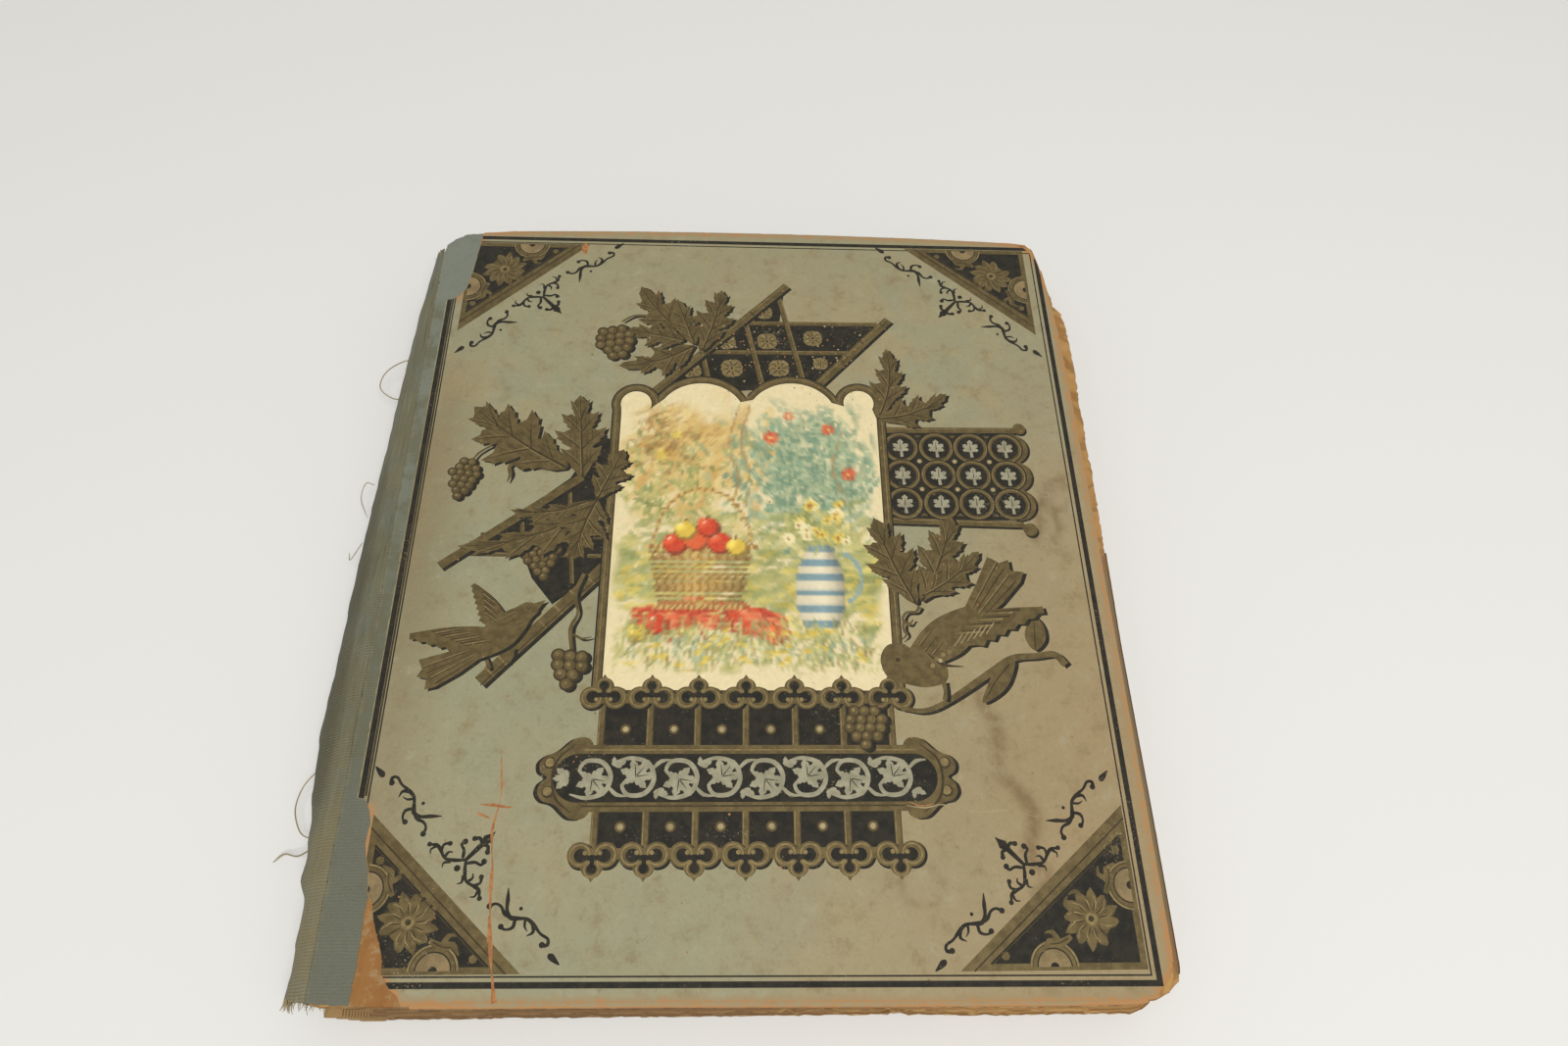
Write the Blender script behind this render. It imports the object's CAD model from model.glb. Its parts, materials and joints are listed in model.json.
"""A worn scrap album with printed paper boards and a loose cloth spine, lying closed on its back cover."""

import json
import math
import random

import bpy
import numpy as np
from mathutils import Matrix, Vector, noise
from mathutils.geometry import delaunay_2d_cdt
from mathutils.kdtree import KDTree

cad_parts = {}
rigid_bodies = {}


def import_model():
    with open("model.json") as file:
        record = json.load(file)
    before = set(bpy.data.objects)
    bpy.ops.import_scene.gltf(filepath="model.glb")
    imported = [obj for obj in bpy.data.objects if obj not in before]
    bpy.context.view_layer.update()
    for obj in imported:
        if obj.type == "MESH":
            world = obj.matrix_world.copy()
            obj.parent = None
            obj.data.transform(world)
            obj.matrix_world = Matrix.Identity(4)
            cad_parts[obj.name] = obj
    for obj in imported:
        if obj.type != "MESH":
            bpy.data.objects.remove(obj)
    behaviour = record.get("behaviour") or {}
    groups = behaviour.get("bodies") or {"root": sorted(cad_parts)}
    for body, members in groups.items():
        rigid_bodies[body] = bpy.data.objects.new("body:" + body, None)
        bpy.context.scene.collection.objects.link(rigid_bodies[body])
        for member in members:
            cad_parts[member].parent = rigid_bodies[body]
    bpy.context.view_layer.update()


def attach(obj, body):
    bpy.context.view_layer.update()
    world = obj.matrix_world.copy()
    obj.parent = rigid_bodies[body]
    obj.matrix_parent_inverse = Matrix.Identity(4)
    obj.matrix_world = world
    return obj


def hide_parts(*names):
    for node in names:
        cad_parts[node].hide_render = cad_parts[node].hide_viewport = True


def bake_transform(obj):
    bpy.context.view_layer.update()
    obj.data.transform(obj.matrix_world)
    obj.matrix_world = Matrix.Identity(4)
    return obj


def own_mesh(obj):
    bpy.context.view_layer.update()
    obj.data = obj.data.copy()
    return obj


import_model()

# The view: a hand-held camera with a wide lens, above the album's tail edge and looking down
# at it. Its place and turn are those from which the album was seen.
eye = (-17.6, -179.9, 362.8)
camera = bpy.data.objects.new("camera", bpy.data.cameras.new("camera"))
bpy.context.scene.collection.objects.link(camera)
camera.matrix_world = Matrix((
    (0.99879168, -0.00940842, -0.04823544, eye[0] / 1000),
    (-0.01519515, 0.87428703, -0.48517141, eye[1] / 1000),
    (0.04673632, 0.48531812, 0.87308765, eye[2] / 1000),
    (0, 0, 0, 1),
))
camera.data.sensor_width = 36
camera.data.lens = 24.39
bpy.context.scene.camera = camera
bpy.context.scene.view_settings.view_transform = "Standard"

# The table: a sheet of smooth white card under the album, plain and matt. Soft light comes from
# a large lamp above the tail of the album and from all round.


def tint(red, green, blue):
    """A colour as paint is matched by eye, 0 to 255, for a shader's socket."""
    parts = [c / 255 for c in (red, green, blue)]
    return tuple(c / 12.92 if c < 0.04045 else ((c + 0.055) / 1.055) ** 2.4 for c in parts) + (1,)


class Field:
    """A number, colour or place that changes over a finish. Sums with it become shader nodes."""

    def __init__(self, socket):
        self.socket = socket

    def __add__(self, other):
        return node("Math", self, other, operation="ADD")

    def __sub__(self, other):
        return node("Math", self, other, operation="SUBTRACT")

    def __mul__(self, other):
        return node("Math", self, other, operation="MULTIPLY")

    def __abs__(self):
        return node("Math", self, operation="ABSOLUTE")

    x, y, z = (property(lambda self, axis=axis: node("SeparateXYZ", self, output=axis))
               for axis in range(3))


def node(kind, *inputs, output=0, tree=None, sockets=None, **settings):
    """Adds a shader node beside its inputs, and gives one of its outputs. The inputs go into its
    sockets in order, or into the ones that are named."""
    tree = tree or next(value.socket.id_data for value in inputs if isinstance(value, Field))
    made = tree.nodes.new("ShaderNode" + kind)
    for key, value in settings.items():
        setattr(made, key, value)
    for i, value in enumerate(inputs):
        socket = made.inputs[sockets[i] if sockets else i]
        if isinstance(value, Field):
            tree.links.new(value.socket, socket)
        elif value is not None:
            socket.default_value = value
    return Field(made.outputs[output])


def new_finish(name, roughness, specular=0.25, sheen=0.0):
    """A new material with its fixed values set, its shader, and places on the piece in mm."""
    made = bpy.data.materials.new(name)
    made.use_nodes = True
    shader = made.node_tree.nodes["Principled BSDF"]
    for socket, value in (("Roughness", roughness), ("Specular IOR Level", specular),
                          ("Sheen Weight", sheen)):
        shader.inputs[socket].default_value = value
    place = node("TexCoord", tree=made.node_tree, output=3)
    return made, shader, node("VectorMath", place, (1000,) * 3, operation="MULTIPLY")


def new_object(name, mesh):
    made = bpy.data.objects.new(name, mesh)
    bpy.context.scene.collection.objects.link(made)
    return made


table_half = 2.5
table_mesh = bpy.data.meshes.new("table_card")
table_mesh.from_pydata([(x * table_half, y * table_half, -0.00005)
                        for x, y in ((-1, -1), (1, -1), (1, 1), (-1, 1))], [], [(0, 1, 2, 3)])
table_card, card_shader, _ = new_finish("white_card", 0.9, specular=0.1)
card_shader.inputs["Base Color"].default_value = tint(227, 225, 220)
table_mesh.materials.append(table_card)
new_object("table_card", table_mesh)

lamp = bpy.data.objects.new("window_lamp", bpy.data.lights.new("window_lamp", "AREA"))
bpy.context.scene.collection.objects.link(lamp)
lamp.data.size = 1.1
lamp.data.energy = 36
lamp.location = (0.25, -0.85, 2.0)
lamp.rotation_euler = (-lamp.location).to_track_quat("-Z", "Y").to_euler()

room = bpy.data.worlds.new("pale_room")
room.use_nodes = True
bpy.context.scene.world = room
room_light = room.node_tree.nodes["Background"]
room_light.inputs["Color"].default_value = (1, 1, 1, 1)
room_light.inputs["Strength"].default_value = 0.43
room_seen = node("Background", tint(236, 238, 238), 1, tree=room.node_tree)
seen = node("LightPath", tree=room.node_tree, output="Is Camera Ray")
for kind in ("Glossy", "Transmission"):
    seen = node("Math", seen, node("LightPath", tree=room.node_tree, output=f"Is {kind} Ray"),
                operation="MAXIMUM")
both = node("MixShader", seen, Field(room_light.outputs[0]), room_seen)
room.node_tree.links.new(both.socket, room.node_tree.nodes["World Output"].inputs["Surface"])

# The two cover boards: thick straw-brown pulp board, cut square and since worn round at the
# corners, with its pressed layers showing on every bare edge.


def inside(points, outline):
    """Which points lie inside a closed outline."""
    x, y = np.asarray(points).T[:, :, None]
    (x0, y0), (x1, y1) = outline.T, np.roll(outline, -1, 0).T
    with np.errstate(divide="ignore", invalid="ignore"):
        left = x < (x1 - x0) * (y - y0) / (y1 - y0) + x0
    return (((y1 > y) * 1 - (y0 > y)) * left).sum(1) != 0


def paced(outline, step):
    """A closed outline with points about a step apart."""
    points = []
    for start, end in zip(outline, np.roll(outline, -1, 0)):
        count = max(1, int(np.hypot(*(end - start)) / step))
        points += [start + (end - start) * i / count for i in range(count)]
    return np.array(points)


def worn(outline, step=1.5, depth=0.12, seed=1):
    """A closed outline roughened as an old cut edge is."""
    points = paced(outline, step)
    return points + np.random.default_rng(seed).normal(0, depth, points.shape)


def spread(low, high, pitch):
    """Points of a square grid between two corners."""
    return np.stack(np.meshgrid(*[np.arange(a, b, pitch) for a, b in zip(low, high)]), -1).reshape(-1, 2)


def left_of(way):
    """Unit vectors to the left of some directions."""
    return np.c_[-way[:, 1], way[:, 0]] / np.maximum(np.hypot(*way.T), 1e-9)[:, None]


def counted_round(outline):
    """The outline with its points in counter-clockwise order."""
    x, y = outline.T
    return outline if (x * np.roll(y, -1) - np.roll(x, -1) * y).sum() > 0 else outline[::-1]


def new_piece(name, spots, faces, smooth_to=None, inks=(), **marks):
    """A piece from points in mm and faces: smooth up to an angle, the inks of its first faces, and
    numbers kept at its points."""
    mesh = bpy.data.meshes.new(name)
    mesh.from_pydata((np.asarray(spots) / 1000).tolist(), [], faces)
    for key, values in marks.items():
        kept = mesh.attributes.new(key, "FLOAT", "POINT").data
        kept.foreach_set("value", np.asarray(values, np.float32))
    if inks:
        mesh.polygons.foreach_set("material_index", inks + [0] * (len(faces) - len(inks)))
    mesh.polygons.foreach_set("use_smooth", [True] * len(faces))
    mesh.validate()
    if smooth_to:
        mesh.set_sharp_from_angle(angle=math.radians(smooth_to))
    return new_object(name, mesh)


def cut_sheet(name, outline, upper, lower, cell=6.0, prints=(), wall=((0, 0), (1, 0)), extra=()):
    """A closed sheet cut to outline, in mm, between the heights upper(x, y) and lower(x, y).
    prints are outlines with the number of their ink; wall gives the cut edge's bulge, as pairs of
    share of the depth and mm outwards. The sheet keeps each point's distance from its edge."""
    outline = np.asarray(outline, float)
    low, high = outline.min(0), outline.max(0)
    extra = [np.asarray(e, float) for e in extra]
    grid, rough = (np.vstack([spread(low + pitch / 2, high, pitch)] + extra) for pitch in (cell, 16))
    grid, rough = (points[inside(points, outline)] for points in (grid, rough))
    flats = [counted_round(np.asarray(p, float)) for p in [outline] + [o for o, _ in prints]]
    starts = np.cumsum([0] + [len(f) for f in flats])
    loops = [list(range(a, b)) for a, b in zip(starts, starts[1:])]
    points, _, faces, _, _, sources = delaunay_2d_cdt(
        [Vector(p) for p in np.vstack(flats + [grid])], [], loops, 1, 1e-5, True)
    top = np.array([tuple(p) for p in points])
    tops = np.array([f for f, s in zip(faces, sources) if 0 in s])
    middles = top[tops].mean(1)
    across = np.argsort(middles[:, 0])
    inks = np.zeros(len(tops), int)
    for flat, (_, ink) in zip(flats[1:], prints):
        (x0, y0), (x1, y1) = flat.min(0), flat.max(0)
        near = across[slice(*np.searchsorted(middles[across, 0], (x0, x1)))]
        near = near[(middles[near, 1] > y0) & (middles[near, 1] < y1)]
        for part in np.array_split(near, len(near) // 20000 + 1):
            inks[part[inside(middles[part], flat)]] = ink
    sides = {(f[i], f[(i + 1) % 3]) for f in tops.tolist() for i in range(3)}
    rim = sorted(s for s in sides if s[::-1] not in sides)
    rim_points = sorted({a for s in rim for a in s})
    place = {p: i for i, p in enumerate(rim_points)}
    out = np.zeros((len(rim_points), 2))
    for a, b in rim:
        way = (top[b] - top[a])[::-1] * (1, -1)
        out[place[a]] += way / (np.hypot(*way) + 1e-9)
        out[place[b]] += way / (np.hypot(*way) + 1e-9)
    out /= np.maximum(np.hypot(*out.T), 1e-9)[:, None]
    edge = top[rim_points]
    under, _, unders, came, _, _ = delaunay_2d_cdt(
        [Vector(p) for p in np.vstack([edge, rough])], [(place[a], place[b]) for a, b in rim], [],
        0, 1e-5, True)
    under = np.array([tuple(p) for p in under])
    unders = np.array(unders)
    x, y = under[unders].mean(1).T[:, :, None]
    (x0, y0), (x1, y1) = edge[[place[a] for a, _ in rim]].T, edge[[place[b] for _, b in rim]].T
    with np.errstate(divide="ignore", invalid="ignore"):
        crossing = ((y0 > y) != (y1 > y)) & (x < (x1 - x0) * (y - y0) / (y1 - y0) + x0)
    unders = unders[crossing.sum(1) % 2 == 1]
    spots = [np.c_[top, upper(*top.T)]]
    faces = tops.tolist()
    ring = rim_points
    count = len(top)
    levels = []
    for share, bulge in wall[1:-1]:
        z = upper(*edge.T) * (1 - share) + lower(*edge.T) * share
        spots.append(np.c_[edge + out * bulge, z])
        levels.append(list(range(count, count + len(edge))))
        count += len(edge)
    spots.append(np.c_[under, lower(*under.T)])
    found = {}
    for i, inputs in enumerate(came):
        for j in inputs:
            found.setdefault(j, i)
    levels.append([count + found[i] for i in range(len(edge))])
    for low_ring in levels:
        for a, b in rim:
            faces.append([ring[place[b]], ring[place[a]], low_ring[place[a]], low_ring[place[b]]])
        ring = low_ring
    faces += [[count + f[0], count + f[2], count + f[1]] for f in unders.tolist()]
    spots = np.vstack(spots)
    nearest = KDTree(len(edge))
    for i, p in enumerate(edge):
        nearest.insert((*p, 0), i)
    nearest.balance()
    rim_at = [nearest.find((*p, 0))[2] for p in spots[:, :2].tolist()]
    return new_piece(name, spots, faces, 40, inks.tolist(), rim=rim_at)


def mix(share, first, second):
    """A colour between two, of which one may be given as paint is matched by eye, 0 to 255."""
    first, second = (tint(*c) if isinstance(c, tuple) else c for c in (first, second))
    return node("Mix", share, first, second, sockets=(0, 6, 7), output=2, data_type="RGBA")


def washed(colour, *washes):
    """A colour with others laid over it, each by its share."""
    for share, other in washes:
        colour = mix(share, colour, other)
    return colour


def sine(value):
    return node("Math", value, operation="SINE")


def between(value, low, high, start=0.0, end=1.0):
    """A smooth step from start to end as the value goes from low to high."""
    return node("MapRange", value, low, high, start, end, interpolation_type="SMOOTHSTEP")


def mottle(place, size, detail=3.0, roughness=0.55, stretch=(1, 1, 1)):
    """Cloudy variation, 0 to 1, with patches of a size in mm."""
    where = node("VectorMath", place, stretch, operation="MULTIPLY")
    return node("TexNoise", where, 1 / size, detail, roughness,
                sockets=("Vector", "Scale", "Detail", "Roughness"))


def mark(place, name, output="Fac"):
    """What the mesh keeps at each point, such as rim, its distance from the cut edge in mm."""
    return node("Attribute", tree=place.socket.id_data, attribute_name=name, output=output)


def dress(shader, colour, height=None, depth=0.0):
    """Gives a finish its colour and its fine relief, depth in mm."""
    tree = shader.id_data
    tree.links.new(colour.socket, shader.inputs["Base Color"])
    if height:
        bump = node("Bump", height, 1.0, depth / 1000, sockets=("Height", "Strength", "Distance"))
        tree.links.new(bump.socket, shader.inputs["Normal"])


# The covers' width and how far the front one has slipped, the paper and board, the front cover's
# dome and the height of its edges, in mm.
cover_width, slip = 254.0, 11.0
cover_paper, board_depth = 0.3, 2.6
dome, album_top = 3.0, 25.4


def front_face(x, y):
    """Height of the front cover's outer face, which is warped into a low dome."""
    return album_top + dome * (1 - (2 * (x + slip) / cover_width) ** 2)


def pulp_edge(place):
    """Bare pulp board: straw brown, with pressed layers seen on its edges."""
    height, wander = place.z, mottle(place, 14, 2)
    layer = sine((height + wander) * 19.0)
    face = washed(mix(wander, (124, 82, 44), (158, 112, 64)),
                  (between(mottle(place, 5, 5, 0.7), 0.5, 0.62, 0, 0.75), (158, 134, 100)))
    under = between(height, 24.2, 22.9, 0, 0.85) * between(height, 18, 20)
    return layer, washed(
        mix(mottle(place, 5, 4), (156, 114, 64), (196, 154, 98)),
        (between(layer, 0.2, 0.9, 0, 0.45), (116, 80, 44)),
        (between(mottle(place, 0.5, 4, 0.7), 0.45, 0.75, 0, 0.35), (196, 160, 112)),
        (between(height, 25.3, 25.8, 0, 0.85), face),
        (under, (62, 45, 30)))


pulp, shader, place = new_finish("pulp_board", 0.95, specular=0.1)
layers, straw = pulp_edge(place)
dress(shader, straw, layers + mottle(place, 0.4, 4, 0.7), 0.12)

# Outline of the front cover, counter-clockwise from the tail of its spine edge. The corners are
# rubbed round, the head of the fore-edge most of all.
front_cover_edge = np.array([
    (-137.8, -150.7), (-134, -152.0), (-100, -152.6), (-40, -153.0), (30, -153.6), (80, -153.8),
    (103.5, -153.5), (109, -152.7), (113.6, -150.5), (116.0, -146.3), (116.4, -138), (116.5, -100),
    (116.4, -60), (116.2, 0), (115.9, 60), (115.2, 98), (114.0, 116), (112.8, 129.5), (111.6, 137.5),
    (110.2, 143.6), (107.6, 145.7), (102, 146.4), (60, 146.5), (0, 146.5), (-60, 146.6),
    (-111, 146.5), (-124, 145.6), (-131.5, 143.0), (-136.2, 139.5), (-138.0, 135.5)])
back_cover_edge = np.array([
    (-126.9, -148.6), (-120, -149), (0, -149), (117, -149), (122.6, -148.3), (125.9, -145.4),
    (126.8, -141), (127.0, -90), (126.8, -30), (127.9, 40), (128.6, 100), (128.2, 118),
    (127.2, 127.5), (124.0, 131.6), (123.6, 138), (121.2, 144.2), (114.4, 148.1), (105, 149),
    (0, 149), (-120, 149), (-126.9, 148.4)])


def drawn_in(outline, inset):
    """The outline moved inwards by an inset."""
    return outline + left_of(np.roll(outline, -1, 0) - np.roll(outline, 1, 0)) * inset


board_bulge = ((0, 0), (0.1, 0.22), (0.35, 0.34), (0.7, 0.34), (0.92, 0.2), (1, 0))
front_board = cut_sheet(
    "front_board_worn", worn(drawn_in(front_cover_edge, 0.55), 1.4, 0.08, 3),
    lambda x, y: front_face(x, y) - cover_paper,
    lambda x, y: front_face(x, y) - cover_paper - board_depth, 12, wall=board_bulge)
back_board_edge = worn(drawn_in(back_cover_edge, 0.55), 1.4, 0.1, 4)
for spot in back_board_edge:
    if spot[0] > 118 and spot[1] > -30:
        broken = [max(0, noise.noise(Vector((spot[1] / size, 3, 0)))) for size in (17, 2.3)]
        spot[0] -= min(1, (spot[1] + 30) / 60) * (1.5 * broken[0] + 1.3 * broken[1])
back_board = cut_sheet(
    "back_board_worn", back_board_edge,
    lambda x, y: x * 0 + cover_paper + board_depth, lambda x, y: x * 0 + cover_paper, 12,
    wall=board_bulge)
for board, body, solid in ((front_board, "front_cover", "front_board"),
                           (back_board, "back_cover", "back_board")):
    board.data.materials.append(pulp)
    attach(board, body)
    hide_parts(solid)

# The printed paper of the front cover: one sheet of grey-green paper pasted over the board, with
# black and dull gilt ornament stamped on it, torn away beside the cloth and rubbed brown.
# Its ornament is drawn in mm from the middle of the outer rule, as seen on the plane of the
# cover's edges, and each ink is a finish of the same sheet.
prints = []
PAPER, BLACK, GILT, GILT_LINE, GILT_LIGHT, CREAM, PALE, TEAR, RUB, PICTURE = range(10)
seen_plane = album_top + 0.2
rule_middle = (-11.5, -1.5)


def on_cover(points):
    """Places seen on the plane of the cover's edges, set down on its domed face."""
    spot = seen = np.asarray(points, float) + rule_middle
    for _ in range(3):
        share = (eye[2] - front_face(*spot.T)) / (eye[2] - seen_plane)
        spot = np.array(eye[:2]) + (seen - eye[:2]) * share[:, None]
    return spot


def stamp(ink, *outlines):
    """Prints some outlines in an ink, over what is printed already."""
    prints.extend((np.asarray(o, float), ink) for o in outlines)


def smooth(points, closed=False, step=1.3):
    """A smooth line through points."""
    p = np.asarray(points, float)
    p = np.vstack([p[-1:], p, p[:2]]) if closed else np.vstack([2 * p[0] - p[1], p, 2 * p[-1] - p[-2]])
    line = []
    for a, b, c, d in zip(p, p[1:], p[2:], p[3:]):
        count = max(1, int(np.linalg.norm(c - b) / step + 0.5))
        for t in np.arange(count) / count:
            line.append(0.5 * (2 * b + (c - a) * t + (2 * a - 5 * b + 4 * c - d) * t ** 2
                               + (3 * b - a - 3 * c + d) * t ** 3))
    return np.array(line if closed else line + [p[-2]])


def stroke(points, widths, step=1.3, curved=True):
    """A line of changing width, as one outline."""
    p = smooth(points, step=step) if curved else np.asarray(points, float)
    gone = np.r_[0, np.cumsum(np.hypot(*np.diff(p, axis=0).T))]
    half = np.interp(gone / gone[-1], np.linspace(0, 1, len(widths)), widths)[:, None] / 2
    across = left_of(np.gradient(p, axis=0))
    return np.vstack([p + across * half, (p - across * half)[::-1]])


def straight(start, end, width, end_width=None):
    """A straight line as one outline."""
    return stroke([start, end], (width, width if end_width is None else end_width), curved=False)


def pen(points, widths):
    """A line with small curls, as one outline."""
    return stroke(points, widths, 0.6)


def laid(points, start, way, across):
    """Points given along a way and across it, set down from a start."""
    return [start + way * s + across * t for s, t in points]


def disc(centre, radius, start=0, end=360):
    """A round outline, or a sector of one between two angles in degrees."""
    count = max(7, int(radius * abs(end - start) / 62))
    whole = abs(end - start) >= 360
    a = np.radians(np.linspace(start, end, count + 1)[:-1 if whole else None])
    return np.array(centre) + radius * np.c_[np.cos(a), np.sin(a)]


def rings(centre, *layers, arc=()):
    """Discs of several inks, each given with its radius, on one another."""
    for ink, radius in layers:
        stamp(ink, disc(centre, radius, *arc))


def placed(outline, at, turn=0.0, size=1.0, flip=1):
    """An outline flipped, sized, turned by degrees and set at a place."""
    c, s = math.cos(math.radians(turn)), math.sin(math.radians(turn))
    p = np.asarray(outline, float) * (1, flip) * size
    return p @ np.array([[c, s], [-s, c]]) + at


def with_shade(outlines, ink=GILT, shift=(1.2, -0.7)):
    """Stamps a motif over its own black shade."""
    stamp(BLACK, *[o + shift for o in outlines])
    stamp(ink, *outlines)


# The printed rules: a broad black line and a fine one inside it, round all but the spine side's ends.
rule_corners = np.array([(-122.0, -145.5), (123.2, -147.3), (123.2, 145.6), (-122.0, 145.6)])
for band, gap in ((1.8, 0.0), (0.5, 2.9)):
    outside, within = [rule_corners - np.sign(rule_corners) * inset for inset in (gap, gap + band)]
    for i in range(4):
        t = np.linspace(0, 1, 40)[:, None]
        far, near = [ring[i] + (ring[(i + 1) % 4] - ring[i]) * t for ring in (outside, within)]
        stamp(BLACK, np.vstack([far, near[::-1]]))
stamp(GILT_LINE, np.array([(-120.1, -90), (-119.4, -90), (-119.4, 112), (-120.1, 112)]))

# The corners: black triangles barred with gilt, a leaf in each and two half rosettes on its sides.


def acanthus(at, turn, size):
    """A spread round leaf of many pointed lobes, all bent one way, with dark veins between them."""
    lobes, veins = [disc((0, 0), 6.9)], []
    for i, angle in enumerate(range(-150, 151, 30)):
        a, reach = math.radians(angle), (9.8, 11.0)[i % 2]
        out, side = np.array((math.cos(a), math.sin(a))), np.array((-math.sin(a), math.cos(a)))
        lobes.append(np.array(laid(((0, -2.4), (6, -2.3), (8.6, -1.0), (reach, 0.9), (9.2, 1.9), (6.4, 2.5),
                                    (0, 2.4)), 0, out, side)))
        veins.append(stroke(laid(((2.6, 1.1), (4.8, 1.7), (6.9, 2.5)), 0, out, side), (0.3, 0.75, 0.5)))
    stamp(GILT, *[placed(o, at, turn, size) for o in lobes])
    stamp(GILT_LINE, *[placed(o, at, turn, size) for o in veins])
    stamp(GILT_LIGHT, placed(disc((0, 0), 2.2), at, turn, size), *[
        placed(stroke([(3.2, -0.9), (6.0, -1.3), (8.6, 0.0)], (0.2, 0.6, 0.2)), at, turn + angle, size)
        for angle in range(-150, 151, 30)])
    stamp(GILT_LINE, placed(disc((0.2, 0), 1.1), at, turn, size))


corners = (((-116, 142), (-67, 142), (-116, 95), ((-91, 141.5), (-114.8, 118))),
           ((117, 143.6), (65.6, 143.6), (117, 98), ((91, 143), (115.8, 122))),
           ((119.4, -142.6), (62.7, -142.6), (119.4, -93.5), ((91.3, -141.6), (118.2, -118.3))),
           ((-116, -142), (-66.7, -142), (-116.4, -95.6), ((-92, -141), (-115, -118))))
for corner, along, up, rosettes in corners:
    corner, along, up = map(np.array, (corner, along, up))
    stamp(GILT, np.array([corner, along, up]))
    high, tall = np.hypot(*(along - corner)), np.hypot(*(up - corner))
    u, v = (along - corner) / high, (up - corner) / tall
    stamp(BLACK, laid(((2, 2), (high - 9, 2), (2, tall - 9)), corner, u, v))
    for centre, facing in zip(rosettes, (v, u)):
        turn = math.degrees(math.atan2(*facing[::-1]))
        rings(centre, (GILT_LIGHT, 7.4), (GILT_LINE, 6.8), (GILT, 6.5), (BLACK, 5.4), (RUB, 5.0), (BLACK, 1.3),
              arc=(turn - 90, turn + 90))
    turn = math.degrees(math.atan2(*(u * high / 2 + v * tall / 2)[::-1]))
    acanthus(corner + u * 15 + v * 14.4, turn, 0.86)
    for way, other, size in ((u, v, high), (v, u, tall)):
        tendrils = [stroke(laid(line, corner, way, other), widths) for line, widths in (
            (((22, 9.5), (25.5, 7.6), (29, 8.0), (31, 5.2)), (1.4, 2.6, 2.2, 0.4)),
            (((20, 16.6), (22.6, 18.8), (21.6, 21.2)), (1.6, 1.5, 0.4)),
            (((26, 8), (27.6, 10.8), (30, 10.6)), (1.8, 1.6, 0.4)))]
        stamp(GILT, *tendrils, disc(corner + way * (size - 14) + other * 4.2, 1.3))
        stamp(GILT_LINE, stroke(laid(((23, 9), (26, 7.6), (29, 7.4)), corner, way, other), (0.5, 0.3)))
    stamp(GILT_LINE, straight(along - u * 4.2, up - v * 4.2, 0.5),
          straight(along - u * 9.6 + v * 1.6, up - v * 9.6 + u * 1.6, 0.35))

# Between the corners and the field: a black pen flourish beside each triangle, with a small lily
# in its middle.
flourish = [
    pen([(35.4, 0.6), (36.4, 1.7), (35.2, 2.9), (32.6, 2.4), (29.4, 2.7), (26.6, 2.5), (24.6, 0.9), (22.6, -0.6),
         (20.2, 0.2), (18.2, 2.2), (15.7, 4.6)], (1.3, 0.9, 0.8, 1.3, 0.9, 1.5, 1.0, 1.3, 0.3)),
    pen([(22.8, -0.8), (20.4, -1.0), (18.2, -0.4), (16.4, -1.0), (15.6, -2.8)], (0.6, 1.3, 0.9, 0.8, 1.1)),
    pen([(24.2, -0.2), (25.2, -2.0), (24.2, -3.8), (22.6, -4.4)], (1.0, 1.1, 0.7, 0.9)),
    pen([(29.0, 2.6), (30.6, 1.2), (30.0, -0.9)], (1.2, 1.0, 0.2)),
    pen([(26.0, 2.4), (27.6, 0.6), (29.3, 0.2)], (0.9, 0.8, 0.2)),
    disc((35.2, 0.6), 0.95), disc((15.6, -2.7), 0.95), disc((22.5, -4.2), 0.9), disc((23.0, 3.2), 0.6),
    smooth([(38.4, 0.2), (39.4, 1.2), (41.2, 1.0), (43.2, 0.4), (41.0, -0.5), (39.2, -0.7)], True, 0.6),
    pen([(0, 1.2), (2.4, -1.2), (5.0, -2.8), (7.6, -2.2), (9.8, -1.9), (11.6, -3.4)], (0.8, 1.2, 0.8, 1.2, 0.7)),
    pen([(7.4, -2.4), (8.4, -0.4), (7.4, 1.2)], (1.0, 0.8, 1.0)),
    pen([(3.0, -2.2), (4.2, -4.0), (3.4, -5.2)], (1.1, 0.8, 0.2)),
    pen([(5.4, -2.4), (5.6, -0.8), (4.6, 0.0)], (1.0, 0.8, 0.3)),
    pen([(9.6, -2.0), (10.2, -4.0), (9.2, -5.0)], (0.9, 0.7, 0.3)),
    pen([(0.6, 0.2), (2.6, 2.6), (4.4, 3.2), (4.6, 4.8)], (0.8, 1.1, 0.8, 1.2)),
    disc((4.4, 4.6), 0.95), disc((7.3, 1.1), 0.8), disc((11.7, -3.3), 0.8),
    pen([(0, 7.6), (1.8, 8.3), (3.0, 7.0)], (1.1, 1.1, 1.3)), disc((3.0, 7.1), 0.85)]
lily = [np.array([(0, 13.0), (0.7, 11.2), (1.6, 9.6), (0.9, 8.2), (0.7, 4.0), (0.5, 0.5), (-0.5, 0.5),
                  (-0.7, 4.0), (-0.9, 8.2), (-1.6, 9.6), (-0.7, 11.2)]), disc((0, -2.2), 1.05)]
for centre, turn, side in (((-84.6, 113.8), 43.5, -1), ((86.0, 115.6), -41.4, -1),
                           ((86.3, -112.7), 44.3, 1), ((-87.2, -110.4), -43.3, 1)):
    for flip in (1, -1):
        stamp(BLACK, *[placed(o * (flip, side), centre, turn) for o in flourish])
    stamp(BLACK, *[placed(o * (1, side), centre, turn) for o in lily])


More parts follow.
